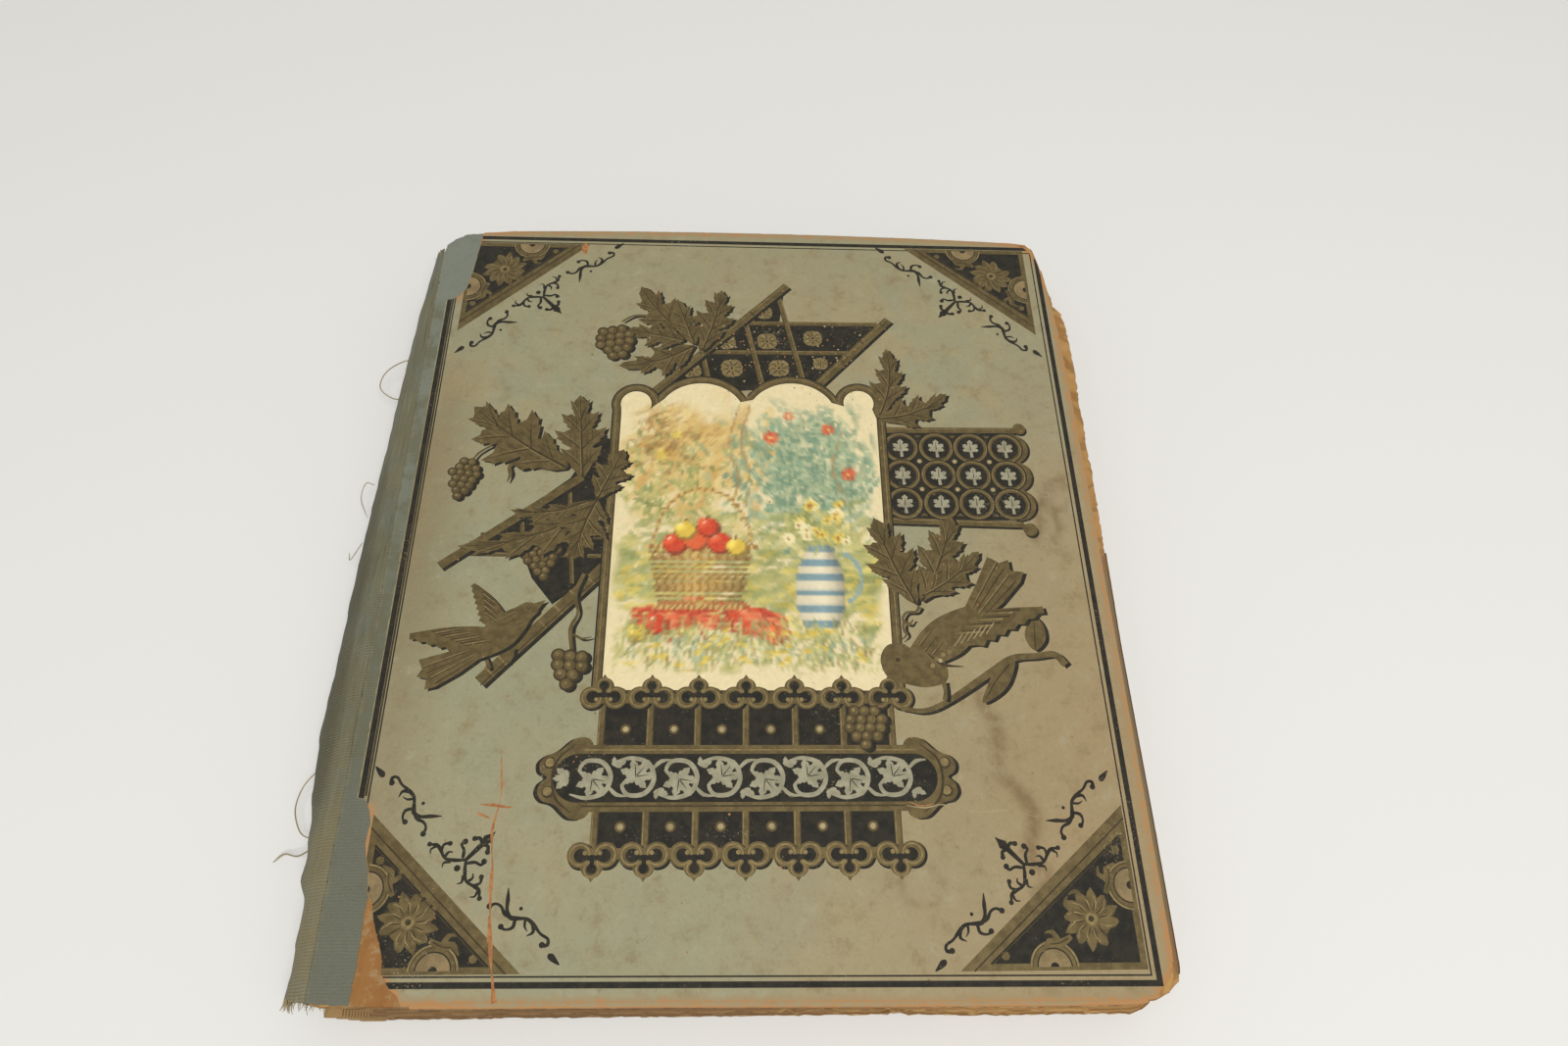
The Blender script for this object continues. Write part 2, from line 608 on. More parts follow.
def vine_leaf(base, tip, width, bend=0.0, lobes=((0.30, 0.60), (0.55, 1.0), (0.79, 0.62)), right=1.0):
    """A pointed, lobed vine leaf: its outline, its dark veins and its light ones."""
    base, tip = np.array(base, float), np.array(tip, float)
    length = np.hypot(*(tip - base))
    way = (tip - base) / length
    across = np.array((-way[1], way[0]))

    def at(t, reach):
        return base + way * length * t + across * (reach * width / 2 + bend * 4 * t * (1 - t))

    edge = {}
    for side in (1, -right):
        line = [(0.0, 0.05), (0.07, 0.24)]
        for t, reach in lobes:
            line += [(t + along, reach * share) for along, share in (
                (-0.12, 0.52), (-0.08, 0.75), (-0.06, 0.71), (-0.02, 0.93), (0, 0.88), (0.08, 1), (0.05, 0.66),
                (0.07, 0.5))]
        edge[side] = [at(t, r * side) for t, r in line + [(0.93, 0.24), (0.95, 0.14)]]
    outline = np.array(edge[1] + [at(1, 0)] + edge[-right][::-1])
    dark = [stroke([at(0, 0), at(0.35, 0), at(0.7, 0), at(0.94, 0)], (0.9, 0.7, 0.25))]
    light = [stroke([at(0.04, 0.05), at(0.35, 0.05), at(0.66, 0.04)], (0.35, 0.3, 0.1))]
    for t, reach in lobes:
        for side in (1, -right):
            dark.append(stroke([at(t - 0.17, 0), at(t - 0.06, reach * side * 0.4),
                                at(t + 0.04, reach * side * 0.84)], (0.55, 0.4, 0.15)))
            for k in (0.3, 0.55):
                dark.append(straight(at(t - 0.14 + k * 0.12, reach * side * k * 0.75),
                                     at(t + 0.02 + k * 0.06, reach * side * k * 0.8), 0.28, 0.12))
        light.append(stroke([at(t - 0.145, 0.02), at(t - 0.03, reach * 0.42), at(t + 0.05, reach * 0.78)],
                            (0.3, 0.2)))
    return outline, dark, light


def lay_leaves(*leaves):
    """Vine leaves stamped over their shade, each as vine_leaf takes it."""
    made = [vine_leaf(*leaf) for leaf in leaves]
    stamp(BLACK, *[outline + (1.2, -0.7) for outline, _, _ in made])
    for outline, dark, light in made:
        stamp(GILT, outline)
        stamp(GILT_LINE, *dark)
        stamp(GILT_LIGHT, *light)


def grapes(centre, rows, berry=2.0, turn=0.0):
    """A hanging bunch of grapes, its berries counted row by row."""
    berries = []
    for i, count in enumerate(rows):
        for j in range(count):
            spot = ((j - (count - 1) / 2) * berry * 1.8 + (0.3 if i % 2 else -0.2), -i * berry * 1.5)
            berries.append(placed([spot], centre, turn)[0])
    with_shade([disc(b, berry * 1.12) for b in berries], GILT_LINE)
    for b in berries:
        stamp(GILT_LINE, disc(b, berry))
        stamp(GILT, disc(b + (-0.1, 0.1), berry * 0.84))
        stamp(GILT_LIGHT, disc(b + (-0.35, 0.4), berry * 0.34))


def bars(*lines, width=2.2, ink=GILT):
    """Gilt bars with a light edge above and a dark line along the middle."""
    for a, b in lines:
        stamp(ink, straight(a, b, width))
        a, b = np.array(a, float), np.array(b, float)
        way = (b - a) / np.hypot(*(b - a))
        across = np.array((-way[1], way[0])) * (1 if way[0] > 0 else -1)
        stamp(GILT_LIGHT, straight(a + across * width * 0.33, b + across * width * 0.33, 0.3))
        stamp(GILT_LINE, straight(a - across * width * 0.42, b - across * width * 0.42, 0.3))


# The lattice above the picture: black cells between gilt bars, a small square rosette in each.
stamp(BLACK, [(14.5, 120.5), (12, 101.4), (52.5, 101.4), (29, 71), (-38.5, 64)])


def square_rosette(centre, size, turn):
    """A square flower of four broad petals and four small ones, with dark folds."""
    broad = smooth([(0, 0), (1.4, 1.9), (3.9, 1.7), (4.3, 0), (3.9, -1.7), (1.4, -1.9)], True, 0.9)
    petals = [placed(broad, centre, turn + 45 + 90 * i, size) for i in range(4)]
    petals += [placed(disc((2.9, 0), 1.3), centre, turn + 90 * i, size) for i in range(4)]
    stamp(GILT_LIGHT, *petals)
    for i in range(8):
        stamp(GILT_LINE, placed(straight((1.2, 0), (3.7, 0.2), 0.5, 0.3), centre, turn + 45 * i, size))
    stamp(GILT_LIGHT, placed(disc((0, 0), 1.3), centre, turn, size))
    stamp(BLACK, placed(disc((0, 0), 0.55), centre, turn, size))


for centre, size, turn in (((7, 92.3), 0.98, 5), ((25.4, 94.2), 0.94, 0), ((-7, 78.6), 1.06, 8),
                           ((11.6, 79), 1.0, 4), ((28.2, 81.5), 0.72, -6), ((6, 107), 0.8, 0),
                           ((-9, 91.5), 0.85, 10), ((-22.5, 77), 0.85, 15)):
    square_rosette(centre, size, turn)
bars(((-19, 86.3), (40, 86.9)), ((-9, 101.2), (52, 101.8)), ((11.2, 118), (21.5, 71)),
     ((-2.2, 104), (4.8, 71)), ((-19.5, 90), (-15.4, 68)))
with_shade([straight((15.4, 121.6), (-37.6, 66), 3.3), straight((56.6, 104.4), (26.2, 70.5), 3.6)], GILT,
           (0.9, -0.9))
for a, b in (((14.8, 121.9), (-38.2, 66.4)), ((55.8, 104.7), (25.6, 71))):
    stamp(GILT_LIGHT, straight(a, b, 0.35))
for a, b in (((53, 102.6), (54.6, 100.9)), ((44.5, 93.4), (46.1, 91.7)), ((36, 83.8), (37.6, 82.1)),
             ((0, 107.4), (1.8, 105.6)), ((-20, 86.4), (-18.2, 84.6))):
    stamp(GILT_LINE, straight(a, b, 0.5))

# The trellis left of the picture, and the slanting pole on which the left bird sits.
stamp(BLACK, [(-103, -4.4), (-83, 12), (-66, 27), (-56.5, 46), (-51, 44), (-51, -10), (-68, -24),
              (-76, -14), (-80, -4.4)])
bars(((-79, 9.8), (-51, 10.6)), ((-92, 3.4), (-51, 2.2)), ((-103, -4.6), (-51, -5.2)),
     ((-66, 24), (-62, -16)), ((-82, 11), (-80, -5)), ((-95, 4), (-93, -5)), width=1.6)
with_shade([straight((-108.4, -9.4), (-60, 29), 3.2), straight((-51, -9.5), (-89.4, -52.2), 4.6, 4.4)],
           GILT, (1.0, -1.0))
for spot in ((-56, -14.4), (-61, -20.2), (-66, -26), (-71, -31.2), (-83, -44.6), (-86.8, -48.6)):
    stamp(GILT_LIGHT, straight(np.array(spot) + (-1.5, 1.7), np.array(spot) + (1.8, -1.5), 0.6))
stamp(GILT_LINE, straight((-50.5, -10.8), (-88.9, -53.4), 0.4))

# The bands under the picture: a crest, a row of cells, the vine scroll, more cells and a lower crest.
dividers = (-48.2, -32.4, -16.9, -1.1, 15.1, 31.0, 47.0)


def crest(level, way):
    """A row of pointed trefoil heads joined by small arches, pointing up, 1, or down, -1."""
    lobe = 3.9
    left, right = dividers[0] - 6, dividers[-1] + 6

    def at(x, up):
        return x, level + up * way

    for x in dividers:
        for dx in (-lobe, lobe):
            stamp(BLACK, disc((x + dx + 0.5, level - 0.5), lobe + 0.3))
    stamp(GILT, [at(left, -2.0), at(right, -2.0), at(right, 1.4), at(left, 1.4)])
    for x in dividers:
        stamp(GILT, [at(x - 4.6, 2.2), at(x - 2.6, 4.2), at(x, 8.2), at(x + 2.6, 4.2), at(x + 4.6, 2.2)],
              disc(at(x, 3.6), 3.4), disc((x - lobe, level), lobe), disc((x + lobe, level), lobe))
        for dx in (-lobe, lobe):
            rings((x + dx, level), (GILT_LIGHT, 3.3), (GILT, 2.8))
            stamp(BLACK, disc(at(x + dx * 0.92, 0.2), 2.1))
        rings(at(x, 4.3), (GILT_LIGHT, 2.5), (GILT, 2.1))
        stamp(BLACK, disc(at(x, 4.2), 1.6), straight(at(x - 4, 0.9), at(x + 4, 0.9), 1.5),
              straight((x, level), at(x, 4.2), 1.6, 1.2))
        stamp(GILT_LIGHT, disc(at(x - 2.3, -0.6), 0.75), disc(at(x + 2.3, -0.6), 0.75))


bands = ((-59, -74.5), (-94.5, -106.5))
for high, low in bands:
    stamp(BLACK, [(-49, high), (48, high), (48, low), (-49, low)])
for x in dividers:
    bars(*[((x, high), (x, low)) for high, low in bands], width=2.3)
for a, b in zip(dividers, dividers[1:]):
    for y in (-68.4, -99.8):
        rings(((a + b) / 2, y), (GILT_LINE, 1.9), (GILT, 1.6), (CREAM, 1.0))
crest(-108.3, -1)

scroll_end = [(50, -74.4), (55.2, -71.2), (60.6, -75.4), (64.8, -77.2), (66.9, -79.6), (66.4, -82.6),
              (64.2, -84.2), (66.3, -86.2), (66.9, -89.2), (65.0, -91.8), (61.2, -93.0), (55.6, -97.4),
              (50, -94.4)]
scroll_crease = [(56, -73.6), (61, -78), (62.5, -84), (61, -91), (56, -95.4)]
for side in (-1, 1):
    with_shade([smooth(np.array(scroll_end) * (side, 1), True, 1.0)], GILT, (1.2 * side, -0.4))
    for y in (-79.6, -88.8):
        stamp(GILT_LINE, disc((63.6 * side, y), 2.0))
        stamp(GILT_LIGHT, disc((63.6 * side - 0.2, y + 0.2), 1.5))
    stamp(GILT_LINE, stroke(np.array(scroll_crease) * (side, 1), (0.3, 0.8, 1.0, 0.8, 0.3)))
stamp(GILT, [(-56, -73.7), (56, -73.7), (56, -95.2), (-56, -95.2)])
stamp(GILT_LIGHT, straight((-53, -75.3), (54, -75.3), 0.4))
stamp(GILT_LINE, straight((-53, -93.4), (54, -93.4), 0.5))
capsule = np.vstack([disc((53.0, -84.4), 7.8, -90, 90), disc((-54.5, -84.4), 7.8, 90, 270)])
stamp(BLACK, capsule)
lobe = [(0.2, -0.5), (1.6, -1.7), (2.9, -1.9), (3.3, -1.2), (4.6, -1.3), (6.4, 0.3), (4.6, 1.5), (3.6, 1.2),
        (2.7, 2.0), (1.4, 1.7), (0.2, 0.5)]
stem = [(-7.2, 5.2), (-2.0, 6.4), (3.6, 4.6), (5.4, -0.6), (2.6, -5.0), (-2.6, -5.4), (-4.6, -2.4), (-2.6, -0.6)]
for i, x in enumerate(np.linspace(-49.6, 46.6, 8)):
    way = 1 if i % 2 else -1
    here = np.array((x, -84.4))
    stamp(PALE, stroke(placed(stem, here, flip=way), (0.5, 1.3, 1.5, 1.5, 1.6, 1.5, 1.3, 1.0)),
          stroke(placed([(4.6, 2.6), (7.6, 5.4), (10.8, 5.8)], here, flip=way), (0.8, 1.4, 0.5)))
    centre, beside = here + (-0.4, 0.4 * way), here + (6.6, -3.6 * way)
    for turn, size in ((-78, 0.8), (-26, 0.96), (22, 1.06), (72, 0.92), (124, 0.86), (180, 0.7)):
        stamp(PALE, placed(lobe, centre, (turn + 28) * way, size, way))
    stamp(PALE, placed(lobe, beside, -30 * way, 0.62, way), placed(lobe, beside, -100 * way, 0.52, way))
    for turn in (-22, 20, 64):
        vein = stroke([(0.4, 0), (2.6, 0.1), (4.2, 0.2)], (0.35, 0.3, 0.1))
        stamp(BLACK, placed(vein, centre, (turn + 28) * way, 1, way))
stamp(PALE, *[placed(lobe, (-57.4, -84.4), turn, 0.8) for turn in (140, 180, 220)])

# The panel right of the picture: twelve ringed leaves in three rows between two bars with ball ends.
stamp(BLACK, [(49, 50), (101.6, 50), (101.6, 10.8), (49, 10.8)])
with_shade([straight((49, 50.2), (102.6, 50.8), 2.6, 2.4), disc((104.2, 51.6), 2.5),
            straight((49, 10.6), (101, 9.2), 2.6, 2.4), disc((103.0, 7.2), 2.7)], GILT, (0.5, -1.0))
stamp(GILT_LIGHT, straight((51, 50.8), (101, 51.3), 0.35), straight((51, 11.1), (100, 9.8), 0.35))
rows = (42.4, 30.1, 17.8)
petal = [(0, -0.7), (1.5, -1.35), (2.2, -0.75), (3.0, -1.05), (4, 0), (3.0, 1.05), (2.2, 0.75), (1.5, 1.35),
         (0, 0.7)]
with_shade([disc((99.6, y), 6.9) for y in rows], GILT, (0.8, -0.6))
for x, y in [(x, y) for y in rows for x in (57.5, 71.1, 84.3, 97.6)]:
    rings((x, y), (BLACK, 7.0), (GILT_LINE, 6.7), (GILT_LIGHT, 6.4), (GILT, 6.0), (GILT_LINE, 5.2), (BLACK, 5.0))
    for turn, reach in ((90, 4.4), (38, 3.7), (142, 3.7), (-8, 3.1), (188, 3.1)):
        stamp(PALE, placed(petal, (x, y - 0.6), turn, reach / 4))
    stamp(PALE, straight((x, y - 0.6), (x + 0.3, y - 4.2), 0.8, 1.3))
    stamp(GILT_LINE, straight((x, y - 0.8), (x, y + 2.4), 0.4, 0.15))
for y in (36.3, 24.0):
    for x in (50.9, 64.3, 77.7, 91.0):
        rings((x, y), (GILT_LINE, 1.4), (CREAM, 0.9))
for y in (48.0, 12.6):
    for x in (64.3, 77.7, 91.0):
        stamp(GILT, [(x - 1.4, y), (x, y - 1.2 if y > 30 else y + 1.2), (x + 1.4, y)])

# The frame of the picture: a gilt moulding with two arches and a round ear at each upper corner.


def panel_outline(grow):
    """The picture's outline, grown outwards by a width."""
    def arc(x, y, reach, rise, degrees):
        return [(x + reach * math.cos(a), y + rise * math.sin(a)) for a in map(math.radians, degrees)]

    ear = 5.9 + grow
    line = [(-49 - grow, -55 - grow), (49 + grow, -55 - grow), (49.0 + grow, 55.4)]
    line += arc(42.4, 62.6, ear, ear, range(-28, 204, 14))
    for centre, reach, rise in ((16.4, 17.6, 17.0), (-18.5, 17.0, 16.4)):
        line += arc(centre, 54.6, reach + grow * 0.8, rise + grow, range(28, 153, 6))
    return np.array(line + arc(-43.6, 60.8, ear, ear, range(-24, 209, 14)) + [(-49 - grow, 55.4)])


for ink, grow in ((BLACK, 3.6), (GILT, 3.1), (GILT_LIGHT, 2.2), (GILT, 1.8), (GILT_LINE, 0.5), (PICTURE, 0.0)):
    stamp(ink, panel_outline(grow))
crest(-57.6, 1)

# Leaves, grapes and tendrils laid over the trellises and the frame.
with_shade([stroke([(-61, 27), (-70, 36), (-80, 40), (-93, 41.6), (-100, 38), (-103, 33)],
                   (1.3, 1.0, 0.9, 1.0, 0.8), 0.7),
            pen([(-84, 40.4), (-90, 40.8), (-93.6, 38.4), (-93, 35.6), (-90.4, 36.2)],
                (0.7, 0.9, 0.9, 0.9, 0.5)),
            pen([(-70, 32), (-76, 37.2), (-82, 37.8), (-85.6, 34.4), (-84.6, 30.8), (-81.6, 31.2),
                 (-82.4, 33.6)], (1.0, 1.0, 0.9, 0.9, 0.9, 0.8, 0.5)),
            pen([(-85.4, 35), (-88.6, 32), (-88, 28.4), (-88.8, 25)], (0.9, 1.3, 1.5, 0.3)),
            stroke([(-37, 103), (-42, 104.4), (-47, 104), (-51.4, 101)], (1.0, 1.0, 1.0, 0.8), 0.7),
            stroke([(-58, -12), (-60.4, -20), (-59, -27), (-61, -33), (-60, -41)],
                   (1.4, 1.6, 1.0, 1.4, 1.2), 0.7),
            stroke([(-60, -35), (-57, -36.6), (-53.6, -36)], (0.9, 0.8, 0.3), 0.7)])
grapes((-103.8, 33.6), (2, 3, 4, 3, 3, 2, 1), 1.65, -8)
grapes((-54.6, 96.6), (3, 4, 4, 3, 2), 2.1, 12)
grapes((-60.2, -43.0), (3, 3, 2, 1), 2.2, -5)
grapes((-74.4, -1.6), (4, 5, 4, 3, 2, 1), 1.6, 10)
lay_leaves(
    ((-67.5, 31.5), (-104.8, 58.4), 30, 1.5, ((0.3, 0.66), (0.52, 1.0), (0.72, 0.72), (0.88, 0.36)), 0.9),
    ((-61.5, 27.5), (-65.2, 64.6), 20, 0, ((0.28, 0.8), (0.5, 1.0), (0.7, 0.74), (0.86, 0.38)), 0.95))
lay_leaves(
    ((-57.5, 18.0), (-86.4, 13.4), 13, 3.0, ((0.24, 0.6), (0.46, 1.0), (0.68, 0.74), (0.86, 0.4)), 0.5),
    ((-54.5, 16.5), (-103.4, -1.6), 18, 5.0, ((0.2, 0.7), (0.42, 1.0), (0.64, 0.74), (0.84, 0.4)), 0.6))
lay_leaves(
    ((-55.6, 18.4), (-47.0, 40.0), 15, 0, ((0.3, 0.8), (0.54, 1.0), (0.76, 0.6)), 1.0),
    ((-55.6, 18.0), (-62.0, -6.4), 19, -1.0, ((0.26, 0.8), (0.5, 1.0), (0.72, 0.66), (0.88, 0.36)), 1.0))
lay_leaves(
    ((-24, 94), (-44.6, 119.6), 19, 2.0, ((0.3, 0.8), (0.52, 1.0), (0.74, 0.62)), 1.0),
    ((-22, 90), (-29.6, 113.0), 14, 0, ((0.3, 0.8), (0.52, 1.0), (0.74, 0.6)), 1.0),
    ((-19, 87), (-11.4, 118.6), 17, -1.0, ((0.3, 0.7), (0.52, 1.0), (0.72, 0.72), (0.87, 0.36)), 0.9),
    ((-22, 89.5), (-51.4, 79.0), 16, 2.6, ((0.24, 0.8), (0.46, 1.0), (0.7, 0.6)), 0.9))
lay_leaves(((-26, 92), (-48.6, 97.4), 14, 0, ((0.3, 0.9), (0.56, 1.0), (0.78, 0.5)), 1.0))
lay_leaves(
    ((50.4, 57), (54.8, 89.6), 16, -2.5, ((0.4, 1.0), (0.6, 0.75), (0.8, 0.5)), 0.9),
    ((49.4, 55.5), (77.4, 67.6), 17, -3.0, ((0.36, 0.95), (0.58, 0.8), (0.8, 0.4)), 0.85))
lay_leaves(
    ((58.6, -23), (45.4, 11.6), 19, 1.0, ((0.28, 0.7), (0.48, 1.0), (0.68, 0.8), (0.85, 0.42)), 1.0),
    ((60.6, -22), (74.2, 13.0), 19, -1.5, ((0.28, 0.7), (0.48, 1.0), (0.68, 0.76), (0.85, 0.42)), 0.9),
    ((61.0, -20), (83.0, -2.0), 14, -1.5, ((0.3, 0.8), (0.54, 1.0), (0.76, 0.56)), 0.9))
with_shade([pen([(59.6, -24), (58.2, -26), (54.8, -26.4), (53.4, -29), (55.4, -30.8), (57, -29)],
                (1.3, 1.0, 1.0, 1.1, 1.0, 0.6)),
            pen([(53.6, -29.6), (53.4, -32.6), (54.2, -34.8), (52.2, -36.8)], (0.9, 1.1, 0.9, 0.3))])
grapes((38.4, -62.2), (3, 4, 4, 3, 1), 1.9, 0)

# Two small birds in flight, each stamped in gilt over a black shade.


def bird(at, turn, size, flip, wings):
    """A small bird seen from the side: body, head, beak, fanned tail and open wings, with feather lines."""
    def set_down(points):
        return placed(points, at, turn, size, flip)

    body = smooth([(22, 1.5), (19.4, 5.4), (14, 6.6), (8, 8.2), (0, 8.6), (-9, 6.4), (-17, 2.6),
                   (-18, -1.6), (-9, -5.6), (1, -7.6), (10, -5.6), (16, -3.0), (20.6, -2.2)], True, 1.2)
    tail = np.array([(-12, 4.6), (-24, 9.4), (-35, 14.5), (-36.4, 9.6), (-40.4, 8.2), (-37.6, 4.4),
                     (-41.2, 0.6), (-37.0, -1.6), (-25, -3.4), (-13, -3.6)])
    beak = np.array([(20.6, 3.0), (27.0, 0.2), (20.8, -1.6)])
    shapes, lines = [body, tail, beak], []
    for root, tip, width in wings:
        root, tip = np.array(root, float), np.array(tip, float)
        way = tip - root
        across = np.array((-way[1], way[0])) / np.hypot(*way)
        edge = [root + across * width * 0.45]
        for i in range(7):
            t = 0.22 + i * 0.12
            reach = width * (0.62 - 0.07 * i)
            edge += [root + way * (t - 0.015) + across * reach * 0.86,
                     root + way * (t + 0.05) + across * reach]
        lower = smooth([root + way * 0.98, root + way * 0.6 - across * width * 0.22,
                        root + way * 0.2 - across * width * 0.3, root - across * width * 0.2], step=2)
        shapes.append(np.vstack([edge, [tip], lower]))
        for i in range(8):
            a = root + way * (0.16 + 0.06 * i) + across * width * (0.34 - 0.05 * i)
            lines.append(straight(a - way * 0.1 - across * width * 0.22,
                                  a + way * 0.18 - across * width * 0.06, 0.3, 0.8))
    with_shade([set_down(s) for s in shapes])
    for i in range(4):
        lines.append(straight((-15, 2.6 - i * 1.7), (-36, 10 - i * 3.4), 0.3, 0.6))
    lines += [straight((4, 6 - k), (12, 4.4 - k), 0.2, 0.4) for k in (0, 3, 6)]
    stamp(GILT_LINE, *[set_down(s) for s in lines], set_down(disc((18.4, 2.6), 0.9)))
    stamp(GILT_LIGHT, *[set_down(s + (0.3, 0.45)) for s in lines[::2]], set_down(disc((18.5, 2.8), 0.4)))


with_shade([stroke([(50.6, -61.2), (58.6, -62.0), (67, -58.4), (81.6, -48.8), (90, -43.4), (98.6, -42.4),
                    (105, -41.8), (108.4, -45.6)],
                   (1.4, 1.8, 2.0, 2.4, 2.6, 2.4, 2.2, 2.6)),
            smooth([(98.4, -40.4), (95.6, -35.6), (97, -30.4), (99.6, -27.2), (102.6, -31), (102.6, -36.6)],
                   True),
            smooth([(91, -43.6), (85, -46), (81.4, -51.4), (78.2, -59.2), (84.2, -56.4), (88.6, -51.4)],
                   True)])
stamp(GILT_LINE, stroke([(98.6, -40), (99.2, -34), (99.4, -29)], (0.5, 0.3)),
      stroke([(89, -45.4), (84, -51), (79.6, -57.6)], (0.5, 0.3)))
bird((69.6, -35.0), 220, 0.92, -1, (((-1, 1.5), (-36.0, -14.0), 15),))
stamp(GILT, smooth([(56.2, -40.2), (52.4, -37.9), (47.4, -38.6), (44.9, -42.4), (45.0, -46.6),
                    (47.2, -50.6), (52.6, -52.6), (60, -53.8), (67, -51.2), (66, -44)], True, 1.0))
stamp(GILT_LINE, disc((50.6, -44.0), 0.9), stroke([(61, -41.5), (66, -45.6), (73, -46.4)], (0.3, 1.2, 0.3)))
stamp(GILT_LIGHT, *[disc(p, 0.9) for p in ((64.0, -43.6), (66.4, -42.0), (68.8, -40.8), (62.4, -46.0))])
stamp(CREAM, *[stroke([(70.6 + k * 2.3, -38.8 + k * 0.9), (73.8 + k * 2.3, -34.4 + k * 0.9)],
                      (0.3, 0.75, 0.3), curved=False) for k in range(6)], disc((65.2, -44.2), 0.8))
with_shade([stroke([(65.6, -51.6), (66, -55.6), (65.4, -58.4)], (1.8, 1.2, 1.6)),
            stroke([(-90.6, -40), (-88, -44.4), (-86.8, -47.6)], (1.6, 1.1, 1.4)),
            stroke([(-80, -40), (-79.8, -43), (-81, -45.6)], (1.8, 1.6, 1.2))])
bird((-84.6, -35.4), 42, 0.72, 1, (((-2.0, 0.0), (-30.5, 28.5), 17), ((4.0, 4.5), (7.0, 30.0), 13)))

# Damage and stains: the crack beside the spine, the tears along its course, and bare spots.
crack = smooth([(-79.4, -75.6), (-78.5, -84), (-78.0, -90.9), (-79.5, -101), (-78.4, -109.7),
                (-77.3, -125.7), (-75.6, -138), (-73.2, -149.6)], step=2.2)
speckle = np.random.default_rng(31)


def fleck(x, y, size):
    """A small bare spot of uneven outline."""
    turn = np.sort(speckle.uniform(0, 2 * math.pi, 7)) * 0.3 + np.arange(7) * 0.63
    reach = size * speckle.uniform(0.55, 1.25, 7)
    return np.c_[x + reach * np.cos(turn), y + reach * np.sin(turn)]


stamp(TEAR, worn(stroke(crack[::2], (0.2, 0.6, 0.3, 0.9, 0.4, 1.2, 0.5, 1.5, 0.4, 1.7), 1.4), 1.3, 0.1, 21),
      worn(stroke([(-84, -92.7), (-80, -92.9), (-76, -93.6), (-74, -93.4)], (0.4, 1.1, 0.8, 0.4)), 1.2,
           0.06, 22),
      [(-70.5, 140), (-69.8, 142), (-68.8, 142.8), (-67.4, 141), (-67.8, 138.5), (-68.2, 136.5), (-69.6, 137.2)],
      fleck(-104.4, -147.0, 1.4), stroke([(-84.6, -95.4), (-80.6, -97)], (0.9, 0.5)))
crease = [(50, -93.4), (56, -94.2), (61.5, -93.2), (67, -94.8), (74, -95.6), (83, -95.2), (92, -97.4)]
stamp(CREAM, stroke(crease[:4], (0.2, 0.5, 0.35, 0.15)), stroke(crease[3:], (0.15, 0.3, 0.2, 0.1)))
stamp(TEAR, stroke([(51, -92.2), (54.4, -93.6), (59, -93.0)], (0.2, 0.45, 0.15)))
stamp(TEAR, *[fleck(speckle.uniform(-118, 118), speckle.uniform(-144, 144), speckle.uniform(0.15, 0.45))
              for _ in range(90)])
for _ in range(230):
    x, y = (13, 92) + speckle.normal(0, 1, 2) * (22, 13)
    stamp(CREAM if speckle.random() < 0.6 else TEAR, fleck(x, y, speckle.uniform(0.15, 0.45)))

# The sheet's torn edge beside the cloth, from the tail to the head.
torn_side = [(-99.5, -150.1), (-101, -147.5), (-104.5, -144.6), (-106.5, -141.5), (-107.0, -137),
             (-109.0, -132), (-111.2, -127.5), (-112.0, -123), (-114.2, -119), (-114.8, -114),
             (-116.4, -108.5), (-117.2, -103), (-116.8, -97.5), (-118.2, -93), (-119.8, -90.8),
             (-122.3, -90.4), (-122.3, -40), (-122.4, 0), (-122.3, 60), (-122.3, 110.6), (-119, 111.4),
             (-116.6, 113.5), (-115, 118), (-114, 124), (-113.2, 131), (-112.6, 138), (-111.9, 146.2),
             (-111.5, 147.5)]
torn_side = on_cover(torn_side)
torn_side[:, 1] = np.clip(torn_side[:, 1], -151.9, 146.0)  # not past the board
sheet_edge = drawn_in(front_cover_edge, 0.75)
wraps = sheet_edge[(sheet_edge[:, 0] > -110.5) & (front_cover_edge[:, 0] > -110.5)]
for corner, size in (((116, -151), 7.0), ((111, 146), 9.0)):
    near = np.clip(1 - np.hypot(*(wraps - corner).T) / size, 0, 1)[:, None]
    inwards = np.array([-60.0, 0]) - wraps
    wraps = wraps + near * inwards / np.hypot(*inwards.T)[:, None] * 3.4
sheet_outline = worn(np.vstack([wraps, torn_side[::-1]]), 1.2, 0.12, 7)

paint = [(on_cover(worn(np.asarray(o, float), 6, 0)), ink) for o, ink in prints]
picture_points = spread((-49.6, -55.6), (49.8, 73), 0.95)
picture_points = picture_points[inside(picture_points, panel_outline(-0.4))]
tide_points = np.vstack([spread(low, high, 2.2) for low, high in (
    ((66, -132), (112, -52)), ((98, 0), (121, 36)), ((40, -128), (64, -108)), ((-104, 52), (-84, 84)))])
paper_sheet = cut_sheet("cover_paper_printed", sheet_outline, front_face,
                        lambda x, y: front_face(x, y) - np.where(x < -123.5, 0.08, cover_paper), 6, paint,
                        wall=((0, 0), (0.5, 0.12), (1, 0)),
                        extra=(on_cover(picture_points), on_cover(tide_points)))
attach(paper_sheet, "front_cover")
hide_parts("front_cover_paper")

# The picture in the panel is a print in soft colours: a garden still life with a basket of
# apples, a striped jug of yellow daisies, a red cloth and shrubs behind. It is painted here in
# small dabs on a plain ground, and the sheet's points take their colour from it.
dab_pitch = 0.35
canvas_low, canvas_rows, canvas_columns = np.array((-51.0, -57.0)), 380, 292
bare = (222, 208, 170)
canvas = np.full((canvas_rows, canvas_columns, 3), bare, float)
brush = np.random.default_rng(35)


